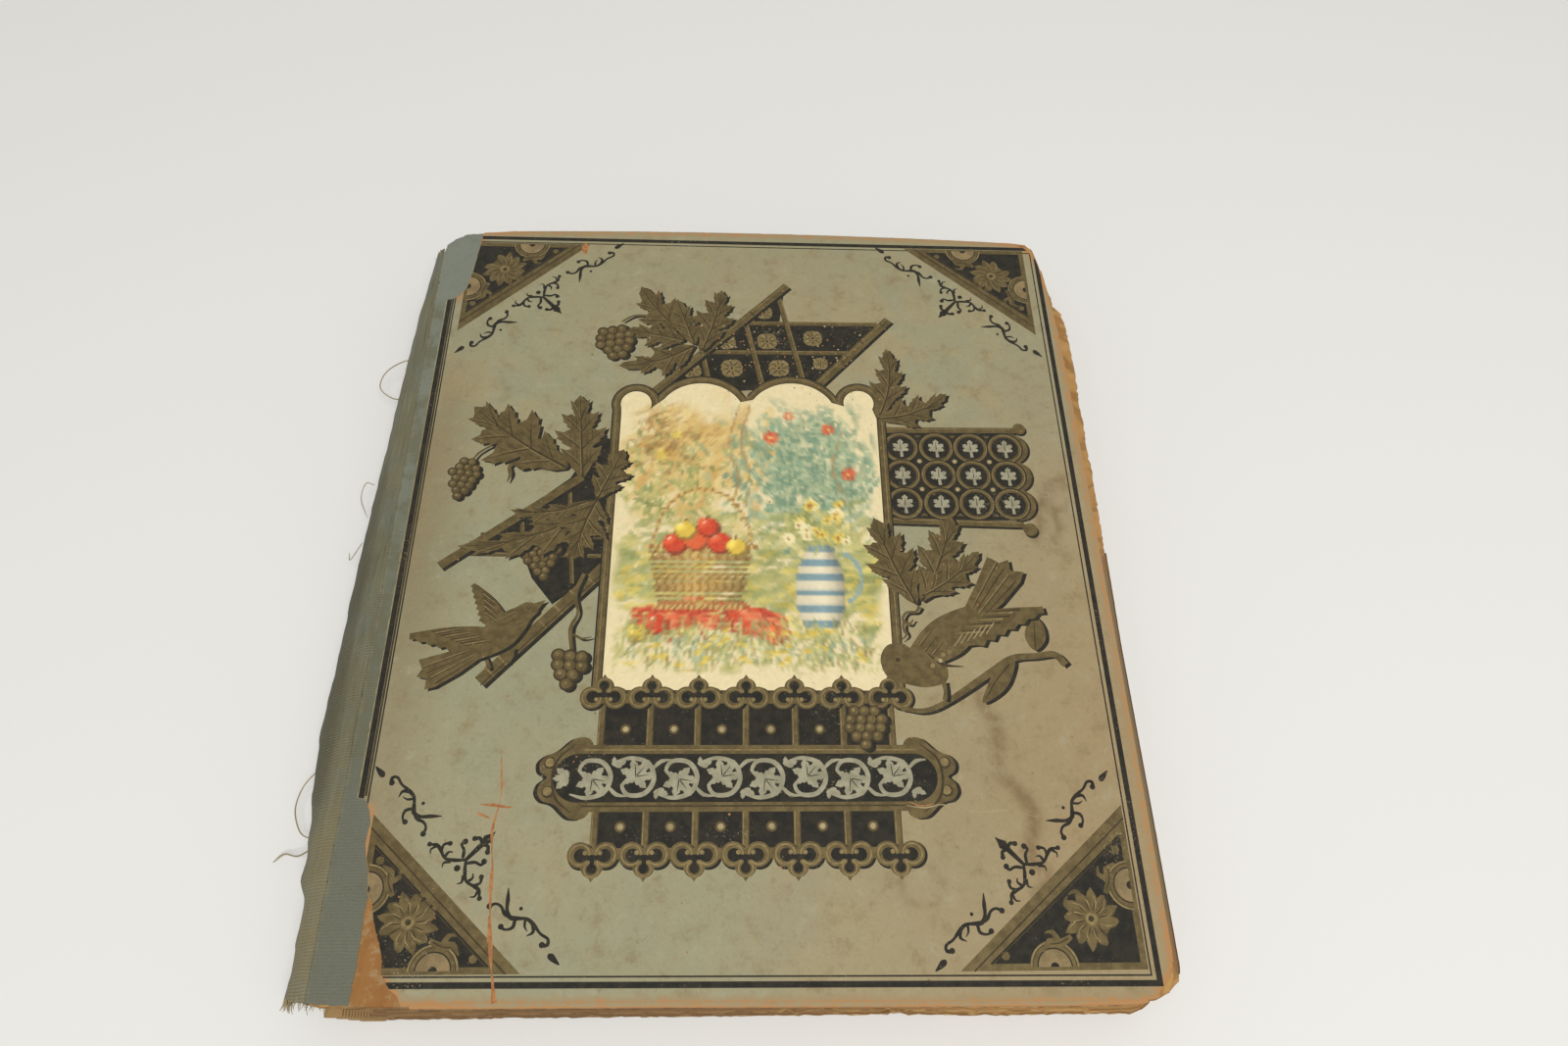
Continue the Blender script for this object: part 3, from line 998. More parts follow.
def dab(spot, long, wide, turn, colour, cover=0.8, soft=2.2):
    """One touch of the brush: a soft ellipse, in mm, turned by degrees."""
    middle = (np.asarray(spot) - canvas_low) / dab_pitch
    reach = max(long, wide) / dab_pitch / 2 + 1
    x0, y0 = np.maximum((middle - reach).astype(int), 0)
    x1, y1 = (middle + reach).astype(int) + 2
    part = canvas[y0:y1, x0:x1]
    if part.size:
        y, x = np.mgrid[y0:y0 + part.shape[0], x0:x0 + part.shape[1]]
        c, s = math.cos(math.radians(turn)), math.sin(math.radians(turn))
        dx, dy = (x - middle[0]) * dab_pitch, (y - middle[1]) * dab_pitch
        away = ((dx * c + dy * s) * 2 / long) ** 2 + ((dy * c - dx * s) * 2 / wide) ** 2
        share = (np.clip((1 - away) * soft, 0, 1) * cover)[..., None]
        part += share * (np.asarray(colour) - part)


def dabs(count, place, size, turn, colours, cover=0.6, variety=8):
    """Many dabs scattered by a function of the brush."""
    for _ in range(count):
        colour = np.array(colours[brush.integers(len(colours))]) + brush.normal(0, variety)
        long = size[0] * brush.uniform(0.6, 1.4)
        dab(place(), long, size[1] * brush.uniform(0.6, 1.4), turn + brush.normal(0, 22), colour, cover)


def cloud(x, y, wide, high):
    """Gives places scattered round a middle."""
    return lambda: (x, y) + brush.normal(0, 1, 2) * (wide, high)


greens = (148, 150, 96), (172, 168, 112), (126, 134, 86), (190, 182, 124)
blues = (150, 164, 132), (122, 146, 122), (178, 184, 150), (104, 130, 108)
ochres = (200, 174, 112), (186, 152, 92), (212, 190, 134)
reds = (186, 74, 48), (204, 100, 70), (160, 56, 40)
yellows = (206, 184, 96), (222, 202, 122), (190, 164, 78)
browns = (132, 98, 60), (154, 118, 74), (110, 80, 50)
dabs(420, cloud(-22, 38, 15, 14), (9, 4), 60, ochres, 0.4)
dabs(420, cloud(22, 32, 15, 17), (7, 3), 110, blues, 0.55)
dabs(420, cloud(26, 24, 14, 15), (4, 1.6), 60, blues, 0.8)
dabs(260, cloud(-30, 24, 12, 12), (4, 1.6), 120, greens, 0.75)
dabs(160, cloud(-30, 44, 9, 8), (4, 1.5), 40, browns, 0.3)
dabs(520, lambda: (brush.uniform(-47, 47), brush.normal(-12, 13)), (9, 3.2), 10, greens, 0.55)
dabs(200, lambda: (brush.uniform(-47, 47), brush.normal(-20, 10)), (6, 2.0), 15, yellows, 0.45)
for x, y, height in ((-6, 18, 44), (-1.5, 17, 47), (33, 10, 40)):
    for k in range(16):
        dab((x + 1.8 * math.sin(k * 0.5), y + height * k / 16), 5, 1.0, 84, (150, 122, 82), 0.6)
for _ in range(130):
    x, y = (22, 36) + brush.normal(0, 1, 2) * (10, 13)
    for k in range(3):
        dab((x, y), 3.6, 1.5, 40 + 55 * k + brush.normal(0, 12), blues[brush.integers(4)], 0.75)
for x, y, size in ((8, 46, 4.2), (30, 50, 3.4), (37, 30, 3.8), (15, 56, 3.0), (-33, 38, 3.4),
                   (-27, 47, 2.8)):
    for k in range(7):
        a = k * 0.9 + x
        dab((x + size * 0.45 * math.cos(a), y + size * 0.45 * math.sin(a)), size * 0.8, size * 0.55,
            math.degrees(a), reds[k % 2] if x > 0 else yellows[k % 3], 0.75)
    dab((x, y), size * 0.4, size * 0.4, 0, (214, 190, 120), 0.9)
# The red cloth spread on the grass, and its folds.
for k in range(260):
    x = brush.uniform(-39, 12)
    y = -27 + 5.5 * math.sin((x + 44) / 17) - brush.uniform(0, 11)
    dab((x, y), brush.uniform(4, 8), 1.6, 12 * math.cos((x + 44) / 17) + brush.normal(0, 8),
        reds[brush.integers(3)] if k % 5 else (216, 130, 96), 0.75)
for x in (-33, -21, -9, 4):
    for k in range(8):
        dab((x + k * 0.9, -26 - k * 1.6), 3.6, 1.0, -58, (128, 42, 34), 0.5)
# The wicker basket: rows of weave between uprights, with a twisted rim and a tall handle.
for row in range(13):
    y = -24 + row * 1.75
    half = 14.5 + row * 0.32
    for k in range(22):
        x = -17 - half + (k + 0.5 * (row % 2)) * half / 11
        shade = 1 - 0.3 * abs(x + 19) / half
        dab((x, y), 2.5, 1.5, 8 if k % 2 else -8,
            np.array(((196, 164, 104), (160, 122, 72))[(k + row) % 2]) * shade, 0.95)
for row in (0, 12):
    for k in range(30):
        half = 15.5 + 0.32 * row
        dab((-17 - half + k * half / 14.5, -24.4 + row * 1.95), 3.0, 1.5, 35,
            ((206, 176, 116), (132, 100, 62))[k % 2], 0.9)
for k in range(44):
    a = math.pi * k / 43
    dab((-17 + 17.5 * math.cos(a), -1 + 24 * math.sin(a)), 2.8, 1.5, math.degrees(a) + 90 + 25 * (k % 2),
        ((198, 168, 108), (142, 108, 66))[k % 2], 0.9)
for x, y, size, tone in ((-27, 0.5, 8.4, 0), (-19.5, 2.4, 9.2, 1), (-11.0, 1.0, 8.6, 0),
                         (-4.8, -0.6, 7.2, 2), (-23.4, 6.0, 7.4, 2), (-15.2, 7.4, 7.8, 0),
                         (-32, -31, 7.6, 0), (-38.5, -34, 6.8, 2), (8.5, -34.5, 7.6, 1)):
    fruit = ((184, 66, 44), (200, 96, 60), (206, 178, 84))[tone]
    dab((x + 0.5, y - 0.7), size + 1.2, size + 0.8, 0, np.array(fruit) * 0.62, 0.85, 4)
    dab((x, y), size, size * 0.95, 0, fruit, 1, 5)
    for k in range(9):
        dab((x - size * 0.2 + brush.normal(0, 0.6), y + size * 0.16 + brush.normal(0, 0.6)), size * 0.42,
            size * 0.3, 40, np.array(fruit) + (34, 40, 30), 0.35)
    dab((x - size * 0.2, y + size * 0.24), size * 0.16, size * 0.13, 40, (240, 226, 196), 0.9)
    dab((x + 0.2, y + size * 0.52), 1.9, 0.6, 70, (96, 74, 48), 0.9)
# The jug: blue and cream stripes, rounded by shade, with a handle and a bunch of daisies.
for row in range(64):
    y = -32 + row * 0.5
    half = 8.6 * math.sin(math.pi * (0.22 + 0.66 * row / 64)) + (0.8 if row > 58 else 0)
    for k in range(18):
        s = (k + 0.5) / 9 - 1
        stripe = (226, 216, 188) if (row // 6) % 2 else (124, 150, 156)
        lit = 1.02 - 0.34 * max(0, s) ** 2 - 0.12 * max(0, -s)
        dab((25 + half * s, y), 2.0, 1.2, 0, np.array(stripe) * lit, 0.85)
for k in range(22):
    a = math.radians(-70 + k * 7)
    dab((33 + 6.6 * math.cos(a), -13 + 9.5 * math.sin(a)), 2.4, 1.7, math.degrees(a) + 90,
        (134, 156, 156), 0.9)
dabs(110, cloud(24, 6, 7, 4), (5, 1.4), 80, greens, 0.8)
for flower in range(16):
    x, y = (24.5, 9.5) + brush.uniform(-1, 1, 2) * (12, 8)
    size = brush.uniform(4.2, 6.4)
    for k in range(11):
        a = k * 2 * math.pi / 11
        dab((x + size * 0.33 * math.cos(a), y + size * 0.30 * math.sin(a)), size * 0.42, size * 0.17,
            math.degrees(a), (yellows[k % 3], (232, 220, 176))[flower % 2], 0.95)
    dab((x, y), size * 0.30, size * 0.27, 0, (150, 102, 52), 0.95)
# Grass in front, with small yellow flowers in it.
dabs(420, lambda: (brush.uniform(-46, 46), brush.uniform(-48, -30)), (5.5, 1.0), 82, greens, 0.6)
dabs(130, lambda: (brush.uniform(-43, 43), brush.uniform(-45, -36)), (5, 0.8), 100, blues, 0.5)
dabs(90, lambda: (brush.uniform(-42, 42), brush.uniform(-48, -30)), (4, 0.8), 80, browns, 0.35)
for _ in range(34):
    x, y = brush.uniform(-38, 40), brush.uniform(-46, -33)
    for k in range(3):
        dab((x + brush.normal(0, 0.9), y + brush.normal(0, 0.6)), 2.0, 1.5, 0, yellows[k % 3], 0.85)
# The print fades out before the gilt, and its grain shows everywhere.
v, u = np.mgrid[:canvas_rows, :canvas_columns]
u, v = u * dab_pitch + canvas_low[0], v * dab_pitch + canvas_low[1]
wander = 2.5 * np.sin(u / 5 + 1) * np.sin(v / 7) + 1.5 * np.sin(v / 3.1 + u / 9)
fade = np.clip((48.5 - np.abs(u) + wander) / 4, 0, 1) * np.clip((v + 50.5 + wander) / 4, 0, 1)
fade *= np.clip((66 - v + 2 * wander) / 12, 0, 1)
canvas += (1 - fade[..., None]) * (np.array(bare) - canvas)
grain = brush.normal(0, 3.0, canvas.shape[:2])[..., None]
canvas += 0.2 * (canvas - canvas.mean(2, keepdims=True)) + grain

coordinates = np.empty(len(paper_sheet.data.vertices) * 3)
paper_sheet.data.vertices.foreach_get("co", coordinates)
where = coordinates.reshape(-1, 3) * 1000
share = (eye[2] - seen_plane) / (eye[2] - where[:, 2])
seen_at = np.array(eye[:2]) + (where[:, :2] - eye[:2]) * share[:, None] - rule_middle
last_cell = (canvas_columns - 1, canvas_rows - 1)
cell = np.clip(((seen_at - canvas_low) / dab_pitch).round().astype(int), 0, last_cell)
shown = np.clip(canvas[cell[:, 1], cell[:, 0]] / 255, 0, 1)
shown = np.where(shown < 0.04045, shown / 12.92, ((shown + 0.055) / 1.055) ** 2.4)
painted = paper_sheet.data.attributes.new("painted", "FLOAT_COLOR", "POINT")
painted.data.foreach_set("color", np.c_[shown, np.ones(len(shown))].astype(np.float32).ravel())

# Tide marks of old damp, and a ring left by a cup: each point takes the strength of the mark there.
tide_marks = [(smooth(line, step=1.2), width, strength) for line, width, strength in (
    ([(77.4, -55), (78.6, -61), (81.4, -66), (82.6, -72.4), (80.6, -78), (81.4, -83.6), (86, -88), (89.4, -93),
      (90.6, -99), (88, -108), (92, -116), (88.6, -124)], 2.6, 0.75),
    ([(104.6, 4), (107.4, 9.4), (105.8, 15), (109.8, 19.6), (113, 26.4), (119, 29.4)], 2.2, 0.75),
    ([(111, 3), (114, 8), (113, 14), (118, 17)], 1.6, 0.65),
    ([(-97.4, 80), (-93.6, 76.4), (-96.8, 71.4), (-92, 66), (-95.4, 61)], 1.3, 0.3))]
tide = np.zeros(len(where))
for line, width, strength in tide_marks + [(disc((53, -118), 6.3), 1.1, 0.42)]:
    gap = np.full(len(where), 99.0)
    close = (np.abs(seen_at - line.mean(0)) < np.ptp(line, axis=0) / 2 + 6).all(1)
    gap[close] = np.sqrt(((seen_at[close, None] - line[None]) ** 2).sum(2)).min(1)
    tide = np.maximum(tide, strength * np.exp(-(gap / width) ** 2))
rim_kept = paper_sheet.data.attributes["rim"].data
rim = np.empty(len(where), np.float32)
rim_kept.foreach_get("value", rim)
under_cloth = (where[:, 0] < -128) & (where[:, 1] > -94) & (where[:, 1] < 110)
rim_kept.foreach_set("value", rim + under_cloth * 3.2)
tide_kept = paper_sheet.data.attributes.new("tide", "FLOAT", "POINT").data
tide_kept.foreach_set("value", tide.astype(np.float32))


def cover_ground(place):
    """The cover paper's own colour: grey-green, toned, rubbed and foxed."""
    x, y = place.x, place.y
    wide, middling, fine = mottle(place, 75, 2), mottle(place, 20, 4, 0.6), mottle(place, 1.1, 4, 0.7)
    dirt, grime = mottle(place, 9, 6, 0.72), mottle(place, 3.4, 6, 0.75)
    scuff = mottle(place, 2.0, 3, 0.6, (1, 0.12, 1))
    foxing = []
    for size, radius, share in ((14, 0.06, 0.75), (5, 0.055, 0.5)):
        spots = node("TexVoronoi", place, 1 / size, 1.0, sockets=("Vector", "Scale", "Randomness"))
        reach = mottle(place, size * 0.8, 2) * (radius * 2)
        foxing.append((between(spots, reach, 0, 0, share), (112, 88, 56)))
    ragged = mark(place, "rim") + mottle(place, 4, 4, 0.7) * -4.0
    return washed(
        mix(between(wide, 0.38, 0.62), (150, 146, 115), (157, 145, 110)),
        (between(middling, 0.42, 0.66, 0, 0.75), (145, 144, 117)),
        (between(middling * 70.0 + x * 0.8 - y * 0.35, 60, 150, 0, 0.85), (158, 136, 100)),
        (between(y, 70, 150, 0, 0.5), (149, 139, 106)),
        (between(x, -106, -129, 0, 0.6) * between(y, 105, 40), (128, 112, 80)),
        (between(x * -0.45 - y, 60, 150, 0, 0.3), (160, 150, 119)),
        (between(dirt, 0.5, 0.72, 0, 0.62), (132, 114, 80)),
        (between(dirt, 0.46, 0.28, 0, 0.4), (168, 164, 137)),
        (between(grime, 0.54, 0.74, 0, 0.5), (122, 106, 76)),
        (between(fine, 0.5, 0.8, 0, 0.34), (122, 112, 84)),
        (between(fine, 0.42, 0.2, 0, 0.38), (180, 176, 150)),
        *foxing,
        (between(scuff, 0.68, 0.8, 0, 0.3), (182, 168, 134)),
        (mark(place, "tide") * between(dirt, 0.3, 0.6, 0.25, 1), (116, 94, 64)),
        (between(ragged, 1.2, -1.0, 0, 0.8), (158, 134, 98)),
        (between(ragged, -0.7, -1.5, 0, 0.9), (174, 128, 82)),
        (mark(place, "soiled"), (54, 40, 28)))


def print_ink(name, first, second, worn_off, roughness, metallic=0.0, blotch=3.0, relief_depth=0.05):
    """An ink on the cover paper: two tones, rubbed through to the paper here and there."""
    finish, shader, place = new_finish(name, roughness, specular=0.2)
    shader.inputs["Metallic"].default_value = metallic
    tone = mix(between(mottle(place, blotch, 4, 0.6), 0.35, 0.65), first, second)
    rub = mottle(place, 0.8, 5, 0.8) + mottle(place, 24, 2) * 0.3
    lost = between(rub, worn_off, worn_off + 0.07)
    grain = mottle(place, 0.45, 4, 0.7) + mottle(place, 3, 3)
    dress(shader, mix(lost, tone, cover_ground(place)), grain, relief_depth)
    return finish


ground, shader, place = new_finish("cover_paper_ground", 0.85, specular=0.18)
dress(shader, cover_ground(place), mottle(place, 0.45, 4, 0.7) + mottle(place, 3, 3), 0.06)
picture, shader, place = new_finish("picture_print", 0.6, specular=0.25)
grain = mottle(place, 0.9, 4, 0.75)
painted = washed(
    mark(place, "painted", "Color"),
    (between(grain, 0.3, 0.8, 0, 0.18), (198, 174, 128)),
    (between(mottle(place, 1.6, 5, 0.8), 0.66, 0.76, 0, 0.75), (226, 212, 176)),
    (between(mottle(place, 4, 4, 0.7), 0.66, 0.76, 0, 0.55), (160, 128, 84)))
dress(shader, painted, grain, 0.03)
inks = [ground, print_ink("black_ink", (32, 30, 24), (46, 42, 33), 0.78, 0.7),
        print_ink("gilt_ink", (106, 91, 58), (87, 74, 46), 0.78, 0.5, 0.35),
        print_ink("gilt_ink_hollows", (56, 47, 30), (70, 60, 40), 0.86, 0.6, 0.2, 2.0),
        print_ink("gilt_ink_edges", (138, 120, 79), (114, 98, 65), 0.80, 0.45, 0.35, 2.0),
        print_ink("cream_ink", (172, 156, 116), (148, 132, 98), 0.80, 0.8, 0, 5.0),
        print_ink("pale_ink", (160, 154, 128), (140, 134, 110), 0.84, 0.8, 0, 4.0),
        print_ink("torn_fibre", (176, 124, 80), (152, 102, 62), 0.95, 0.95, 0, 2.0, 0.12),
        print_ink("boss_ink", (142, 122, 86), (120, 103, 72), 0.80, 0.8, 0, 4.0), picture]
for finish in inks:
    paper_sheet.data.materials.append(finish)

# The same paper is turned over the boards' edges and pasted down inside. It has worn off the
# corners. The back cover has plain paper outside; its printing, if any, is out of sight.
wrap_outside = [(-0.5, 0.02), (0.1, 0.0), (0.45, -0.07), (0.68, -0.28), (0.76, -0.7), (0.78, -1.6),
                (0.76, -2.5), (0.66, -2.95), (0.4, -3.15), (-0.1, -3.2), (-4, -3.2), (-11.1, -3.2)]
wrap_inside = [(-11.1, -2.95), (-4, -2.95), (0.0, -2.95), (0.4, -2.85), (0.57, -2.5), (0.6, -1.6),
               (0.57, -0.8), (0.4, -0.35), (0.1, -0.16), (-0.5, -0.1)]


def edge_wrap(name, line, face, side, seed):
    """A strip of paper folded round a board's edge along an open line; face is the cover's outer face."""
    chance = np.random.default_rng(seed)
    line = np.asarray(line, float)
    gone = np.r_[0, np.cumsum(np.hypot(*np.diff(line, axis=0).T))]
    stations = np.linspace(0, gone[-1], int(gone[-1] / 1.6))
    line = np.c_[np.interp(stations, gone, line[:, 0]), np.interp(stations, gone, line[:, 1])]
    out = -left_of(np.gradient(line, axis=0))
    profile = np.array(wrap_outside + wrap_inside)
    rows, rims = [], []
    for place, outwards, along in zip(line, out, stations):
        to_end = min(along, gone[-1] - along)
        shift = profile[:, 0].copy()
        shift[shift < -1] = np.maximum(shift[shift < -1], -1 - to_end)
        bump = chance.normal(0, 0.035)
        spot = place + outwards * (shift + bump)[:, None]
        rise = profile[:, 1] + np.where(profile[:, 1] > -0.3, 0, bump)
        rows.append(np.c_[spot, face(*place) + side * rise])
        rims.append(np.abs(profile[:, 0] - 0.78) * 1.2 + 0.6 * chance.random() + min(to_end, 3) * 0.3
                    - 0.8 - 2.6 * max(0, 1 - to_end / 18))
    count, per = len(rows), len(profile)
    faces = []
    for i in range(count - 1):
        for j in range(per):
            a, b = i * per + j, i * per + (j + 1) % per
            faces.append((a, a + per, b + per, b) if side > 0 else (a, b, b + per, a + per))
    cap = tuple(range(per))
    last = tuple((count - 1) * per + j for j in range(per))
    faces += [cap if side > 0 else cap[::-1], last[::-1] if side > 0 else last]
    soiled = np.r_[0, 0, 0, 0, 0, 0.25, 0.85, 1, 0.9, 0.5, np.zeros(per - 10)]
    wrap = new_piece(name, np.vstack(rows), faces, 50, rim=np.concatenate(rims),
                     soiled=np.tile(soiled, count))
    wrap.data.materials.append(ground)
    return wrap


def stretch_of(edge, start, end):
    """The part of a closed outline from the point nearest start to that nearest end, counter-clockwise."""
    fine = paced(edge, 2)
    i, j = (int(np.hypot(*(fine - p).T).argmin()) for p in (start, end))
    return fine[i:j + 1] if i <= j else np.vstack([fine[i:], fine[:j + 1]])


back_sheet_edge = drawn_in(back_cover_edge, 0.75)
wrapped = []
for name, start, end in (("tail", (-109, -151), (106, -151)), ("fore_edge", (116, -143), (112.6, 131)),
                         ("head", (106.4, 146), (-122, 146))):
    wrap = edge_wrap("cover_paper_wrap_" + name, stretch_of(sheet_edge, start, end), front_face, 1,
                     len(name))
    wrapped.append((wrap, "front"))
for name, start, end in (("tail", (-120, -149), (118, -149)), ("fore_edge", (126, -143), (128, 8)),
                         ("head", (116, 148), (-120, 149))):
    wrap = edge_wrap("back_paper_wrap_" + name, stretch_of(back_sheet_edge, start, end), lambda x, y: 0.0,
                     -1, 9 + len(name))
    wrapped.append((wrap, "back"))
back_paper_edge = np.array([p for p in back_sheet_edge if p[0] > -123]
                           + [(-123, 148.2), (-123.6, 60), (-122.8, -30), (-123.2, -148.2)])
for corner, size in (((126, -149), 8.0), ((124, 147), 18.0)):
    away = np.hypot(*(back_paper_edge - corner).T)
    back_paper_edge = back_paper_edge * (1 - np.clip(1 - away / size, 0, 1)[:, None] * 0.03)
back_sheet = cut_sheet("back_paper_outside", worn(back_paper_edge, 1.4, 0.12, 12),
                       lambda x, y: x * 0 + cover_paper, lambda x, y: x * 0, 9,
                       wall=((0, 0), (0.5, 0.1), (1, 0)))
back_sheet.data.materials.append(ground)
for piece, cover in wrapped + [(back_sheet, "back")]:
    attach(piece, cover + "_cover")
    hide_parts(cover + "_cover_paper")

# The book cloth: one strip of plain-weave cotton that joined the boards over the spine. It is
# glued down on the front board, hangs loose round the spine in a bulge, and is glued to the back
# board. Its ends have frayed, and threads have come away.
front_joint, back_joint = np.array((-138.3, 25.1)), np.array((-127.3, 0.3))
front_strip_edge = [(-138.35, -150.5), (-131, -151.2), (-126.0, -151.4), (-125.4, -141), (-125.8, -128),
                    (-125.0, -112), (-125.4, -90), (-124.6, -40), (-124.6, 60), (-124.4, 110),
                    (-123.2, 122), (-123.6, 133), (-122.8, 145.0), (-130.0, 144.6), (-134.5, 141.8),
                    (-137.4, 138.6), (-138.35, 133.5)]
back_strip_edge = [(-127.35, -148.6), (-113.5, -148.6), (-113.2, 0), (-113.5, 148.6), (-127.35, 148.6)]
hem = ((0, 0), (0.3, 0.1), (0.7, 0.1), (1, 0))
front_strip = cut_sheet("joint_cloth_front", worn(np.array(front_strip_edge), 0.9, 0.1, 41),
                        lambda x, y: front_face(np.maximum(x, -138), y) - 0.1,
                        lambda x, y: front_face(np.maximum(x, -138), y) - cover_paper, 5, wall=hem)
back_strip = cut_sheet("joint_cloth_back", worn(np.array(back_strip_edge), 1.2, 0.08, 42),
                       lambda x, y: x * 0 + cover_paper, lambda x, y: x * 0 + 0.1, 8, wall=hem)

# How far the loose cloth bulges past the front board's spine edge, from the tail to the head.
bulge_at = ((-150.5, 9.8), (-148.8, 9.8), (-130.4, 8.8), (-120.2, 9.0), (-114.6, 12.1), (-96.7, 12.6),
            (-83.4, 15.0), (-68, 15.7), (-41.5, 15.4), (2.5, 14), (23.9, 13.3), (56.7, 11.2), (85.3, 10),
            (106.8, 8.4), (130.3, 5.4), (145.5, 2.2))
cloth_tail, cloth_head = -150.5, 145.4
cloth_start, cloth_stop = front_joint - (0.1, 0.0), back_joint - (0.3, -0.12)


def rumple(x, y, seed):
    """Smooth noise of patches one unit wide, from -1 to 1."""
    return noise.noise(Vector((x, y, seed)))


def cloth_point(y, t, out=0.0):
    """A place on the loose cloth: y along the spine, t from the front joint to the back one, mm outwards."""
    bulge = np.interp(y, *zip(*bulge_at))
    reach = (bulge + (cloth_stop[0] - cloth_start[0]) / 2) * 8 / 3
    guides = np.array([cloth_start, cloth_start - (0.35 * reach, 1.5 + 0.15 * reach),
                       cloth_stop - (0.65 * reach, -0.5), cloth_stop])

    def along(t):
        shares = (1 - t) ** 3, 3 * t * (1 - t) ** 2, 3 * t * t * (1 - t), t ** 3
        return (guides * np.array(shares)[:, None]).sum(0)

    way = along(min(t + 0.01, 1)) - along(max(t - 0.01, 0))
    normal = np.array((way[1], -way[0])) / -np.hypot(*way)
    loose = math.sin(math.pi * t)
    creased = 1.1 * rumple(y / 22, t * 1.6, 5) + 0.7 * rumple(y / 8, t * 3, 6) + 0.22 * rumple(y / 2.6, t * 4, 7)
    wrinkle = loose * np.interp(y, (-80, -10), (1, 0.5)) * creased
    x, z = along(t) + normal * (out - wrinkle)
    return x, y, max(z, 0.15)


cloth_rows, cloth_columns, cloth_thickness = 190, 34, 0.3
spots, faces = [], []
for side in (0, -cloth_thickness):
    for i in range(cloth_rows + 1):
        for j in range(cloth_columns + 1):
            t = j / cloth_columns
            loose = min(1, 6 * t, 6 * (1 - t))
            tail = cloth_tail + loose * (1.3 + 1.6 * rumple(t * 9, 0, 11) + 1.1 * rumple(t * 30, 0, 12))
            uneven = 1.0 + 1.3 * rumple(t * 8, 5, 13) + 0.9 * rumple(t * 28, 5, 14)
            head = cloth_head - 8.5 + 4 * t - loose * uneven
            spots.append(cloth_point(tail + (head - tail) * i / cloth_rows, t, side))
row = cloth_columns + 1
layer = row * (cloth_rows + 1)
for i in range(cloth_rows):
    for j in range(cloth_columns):
        a = i * row + j
        b = layer + a
        faces += [(a, a + row, a + row + 1, a + 1), (b, b + 1, b + row + 1, b + row)]
border = (list(range(row)) + [i * row + cloth_columns for i in range(1, cloth_rows + 1)]
          + [cloth_rows * row + j for j in range(cloth_columns - 1, -1, -1)]
          + [i * row for i in range(cloth_rows - 1, 0, -1)])
faces += [(a, b, layer + b, layer + a) for a, b in zip(border, border[1:] + border[:1])]
spine_cloth = new_piece("spine_cloth_loose", spots, faces, 60)


def tube(points, radius, sides=6):
    """Points and faces of a round strand, in mm, with closed tapering ends."""
    p = np.asarray(points, float)
    way = np.gradient(p, axis=0)
    way /= np.linalg.norm(way, axis=1)[:, None]
    first = np.cross(way, (0.13, 0.31, 0.94))
    first /= np.linalg.norm(first, axis=1)[:, None]
    second = np.cross(way, first)
    a = np.arange(sides) * 2 * math.pi / sides
    size = radius * np.interp(np.arange(len(p)), (0, 1, len(p) - 3, len(p) - 1), (0.7, 1, 1, 0.4))
    hoops = p[:, None] + size[:, None, None] * (np.cos(a)[None, :, None] * first[:, None]
                                                + np.sin(a)[None, :, None] * second[:, None])
    spots = hoops.reshape(-1, 3).tolist()
    faces = [(i + k, i + (k + 1) % sides, i + sides + (k + 1) % sides, i + sides + k)
             for i in range(0, (len(p) - 1) * sides, sides) for k in range(sides)]
    faces += [tuple(range(sides))[::-1], tuple((len(p) - 1) * sides + k for k in range(sides))]
    return spots, faces


strands, strand_faces = [], []


def add_strand(points, radius):
    """Adds a smooth loose thread to the frays."""
    spots, faces = tube(smooth(points), radius)
    start = len(strands)
    strands.extend(spots)
    strand_faces.extend(tuple(start + i for i in f) for f in faces)


add_strand([(-143.6, 84, 17), (-149.5, 86, 15), (-157.5, 83.5, 11), (-159.5, 77, 9), (-154, 72.6, 8),
            (-147.5, 71.8, 9)], 0.22)
add_strand([(-152.4, -79, 12), (-157.5, -84, 9), (-159.6, -91, 6.5), (-157, -98, 5), (-152, -100.4, 6)],
           0.22)
add_strand([(-150.4, -104, 10), (-156, -105.6, 6), (-161.8, -104.2, 2.5), (-165.5, -106.5, 0.8)], 0.26)
add_strand([(-151.8, 28, 15), (-156.6, 31, 11), (-158.4, 26, 8), (-155.5, 19, 6)], 0.16)
add_strand([(-152.4, 4, 14), (-157.0, -1, 10), (-159, 3.5, 7)], 0.16)
frays = random.Random(43)
for base, reach, count in ((cloth_tail + 1, -1, 46), (cloth_head - 10, 1, 26)):
    for _ in range(count):
        t = frays.uniform(0.04, 0.9)
        end = base if reach < 0 else base + 4 * t
        x, _, z = cloth_point(end, t, -0.15)
        length = frays.uniform(0.8, 2.6)
        lean = frays.uniform(-1.6, 1.2)
        add_strand([(x, end - reach * 1.5, z),
                    (x + lean * 0.3, end + reach * length * 0.4, z - frays.uniform(-0.3, 0.7)),
                    (x + lean, end + reach * length, max(0.4, z - frays.uniform(0, 1.8)))],
                   frays.uniform(0.1, 0.19))
spine_frays = new_piece("spine_cloth_frays", strands, strand_faces)
rib_pitch, warp_pitch = 0.95, 0.8


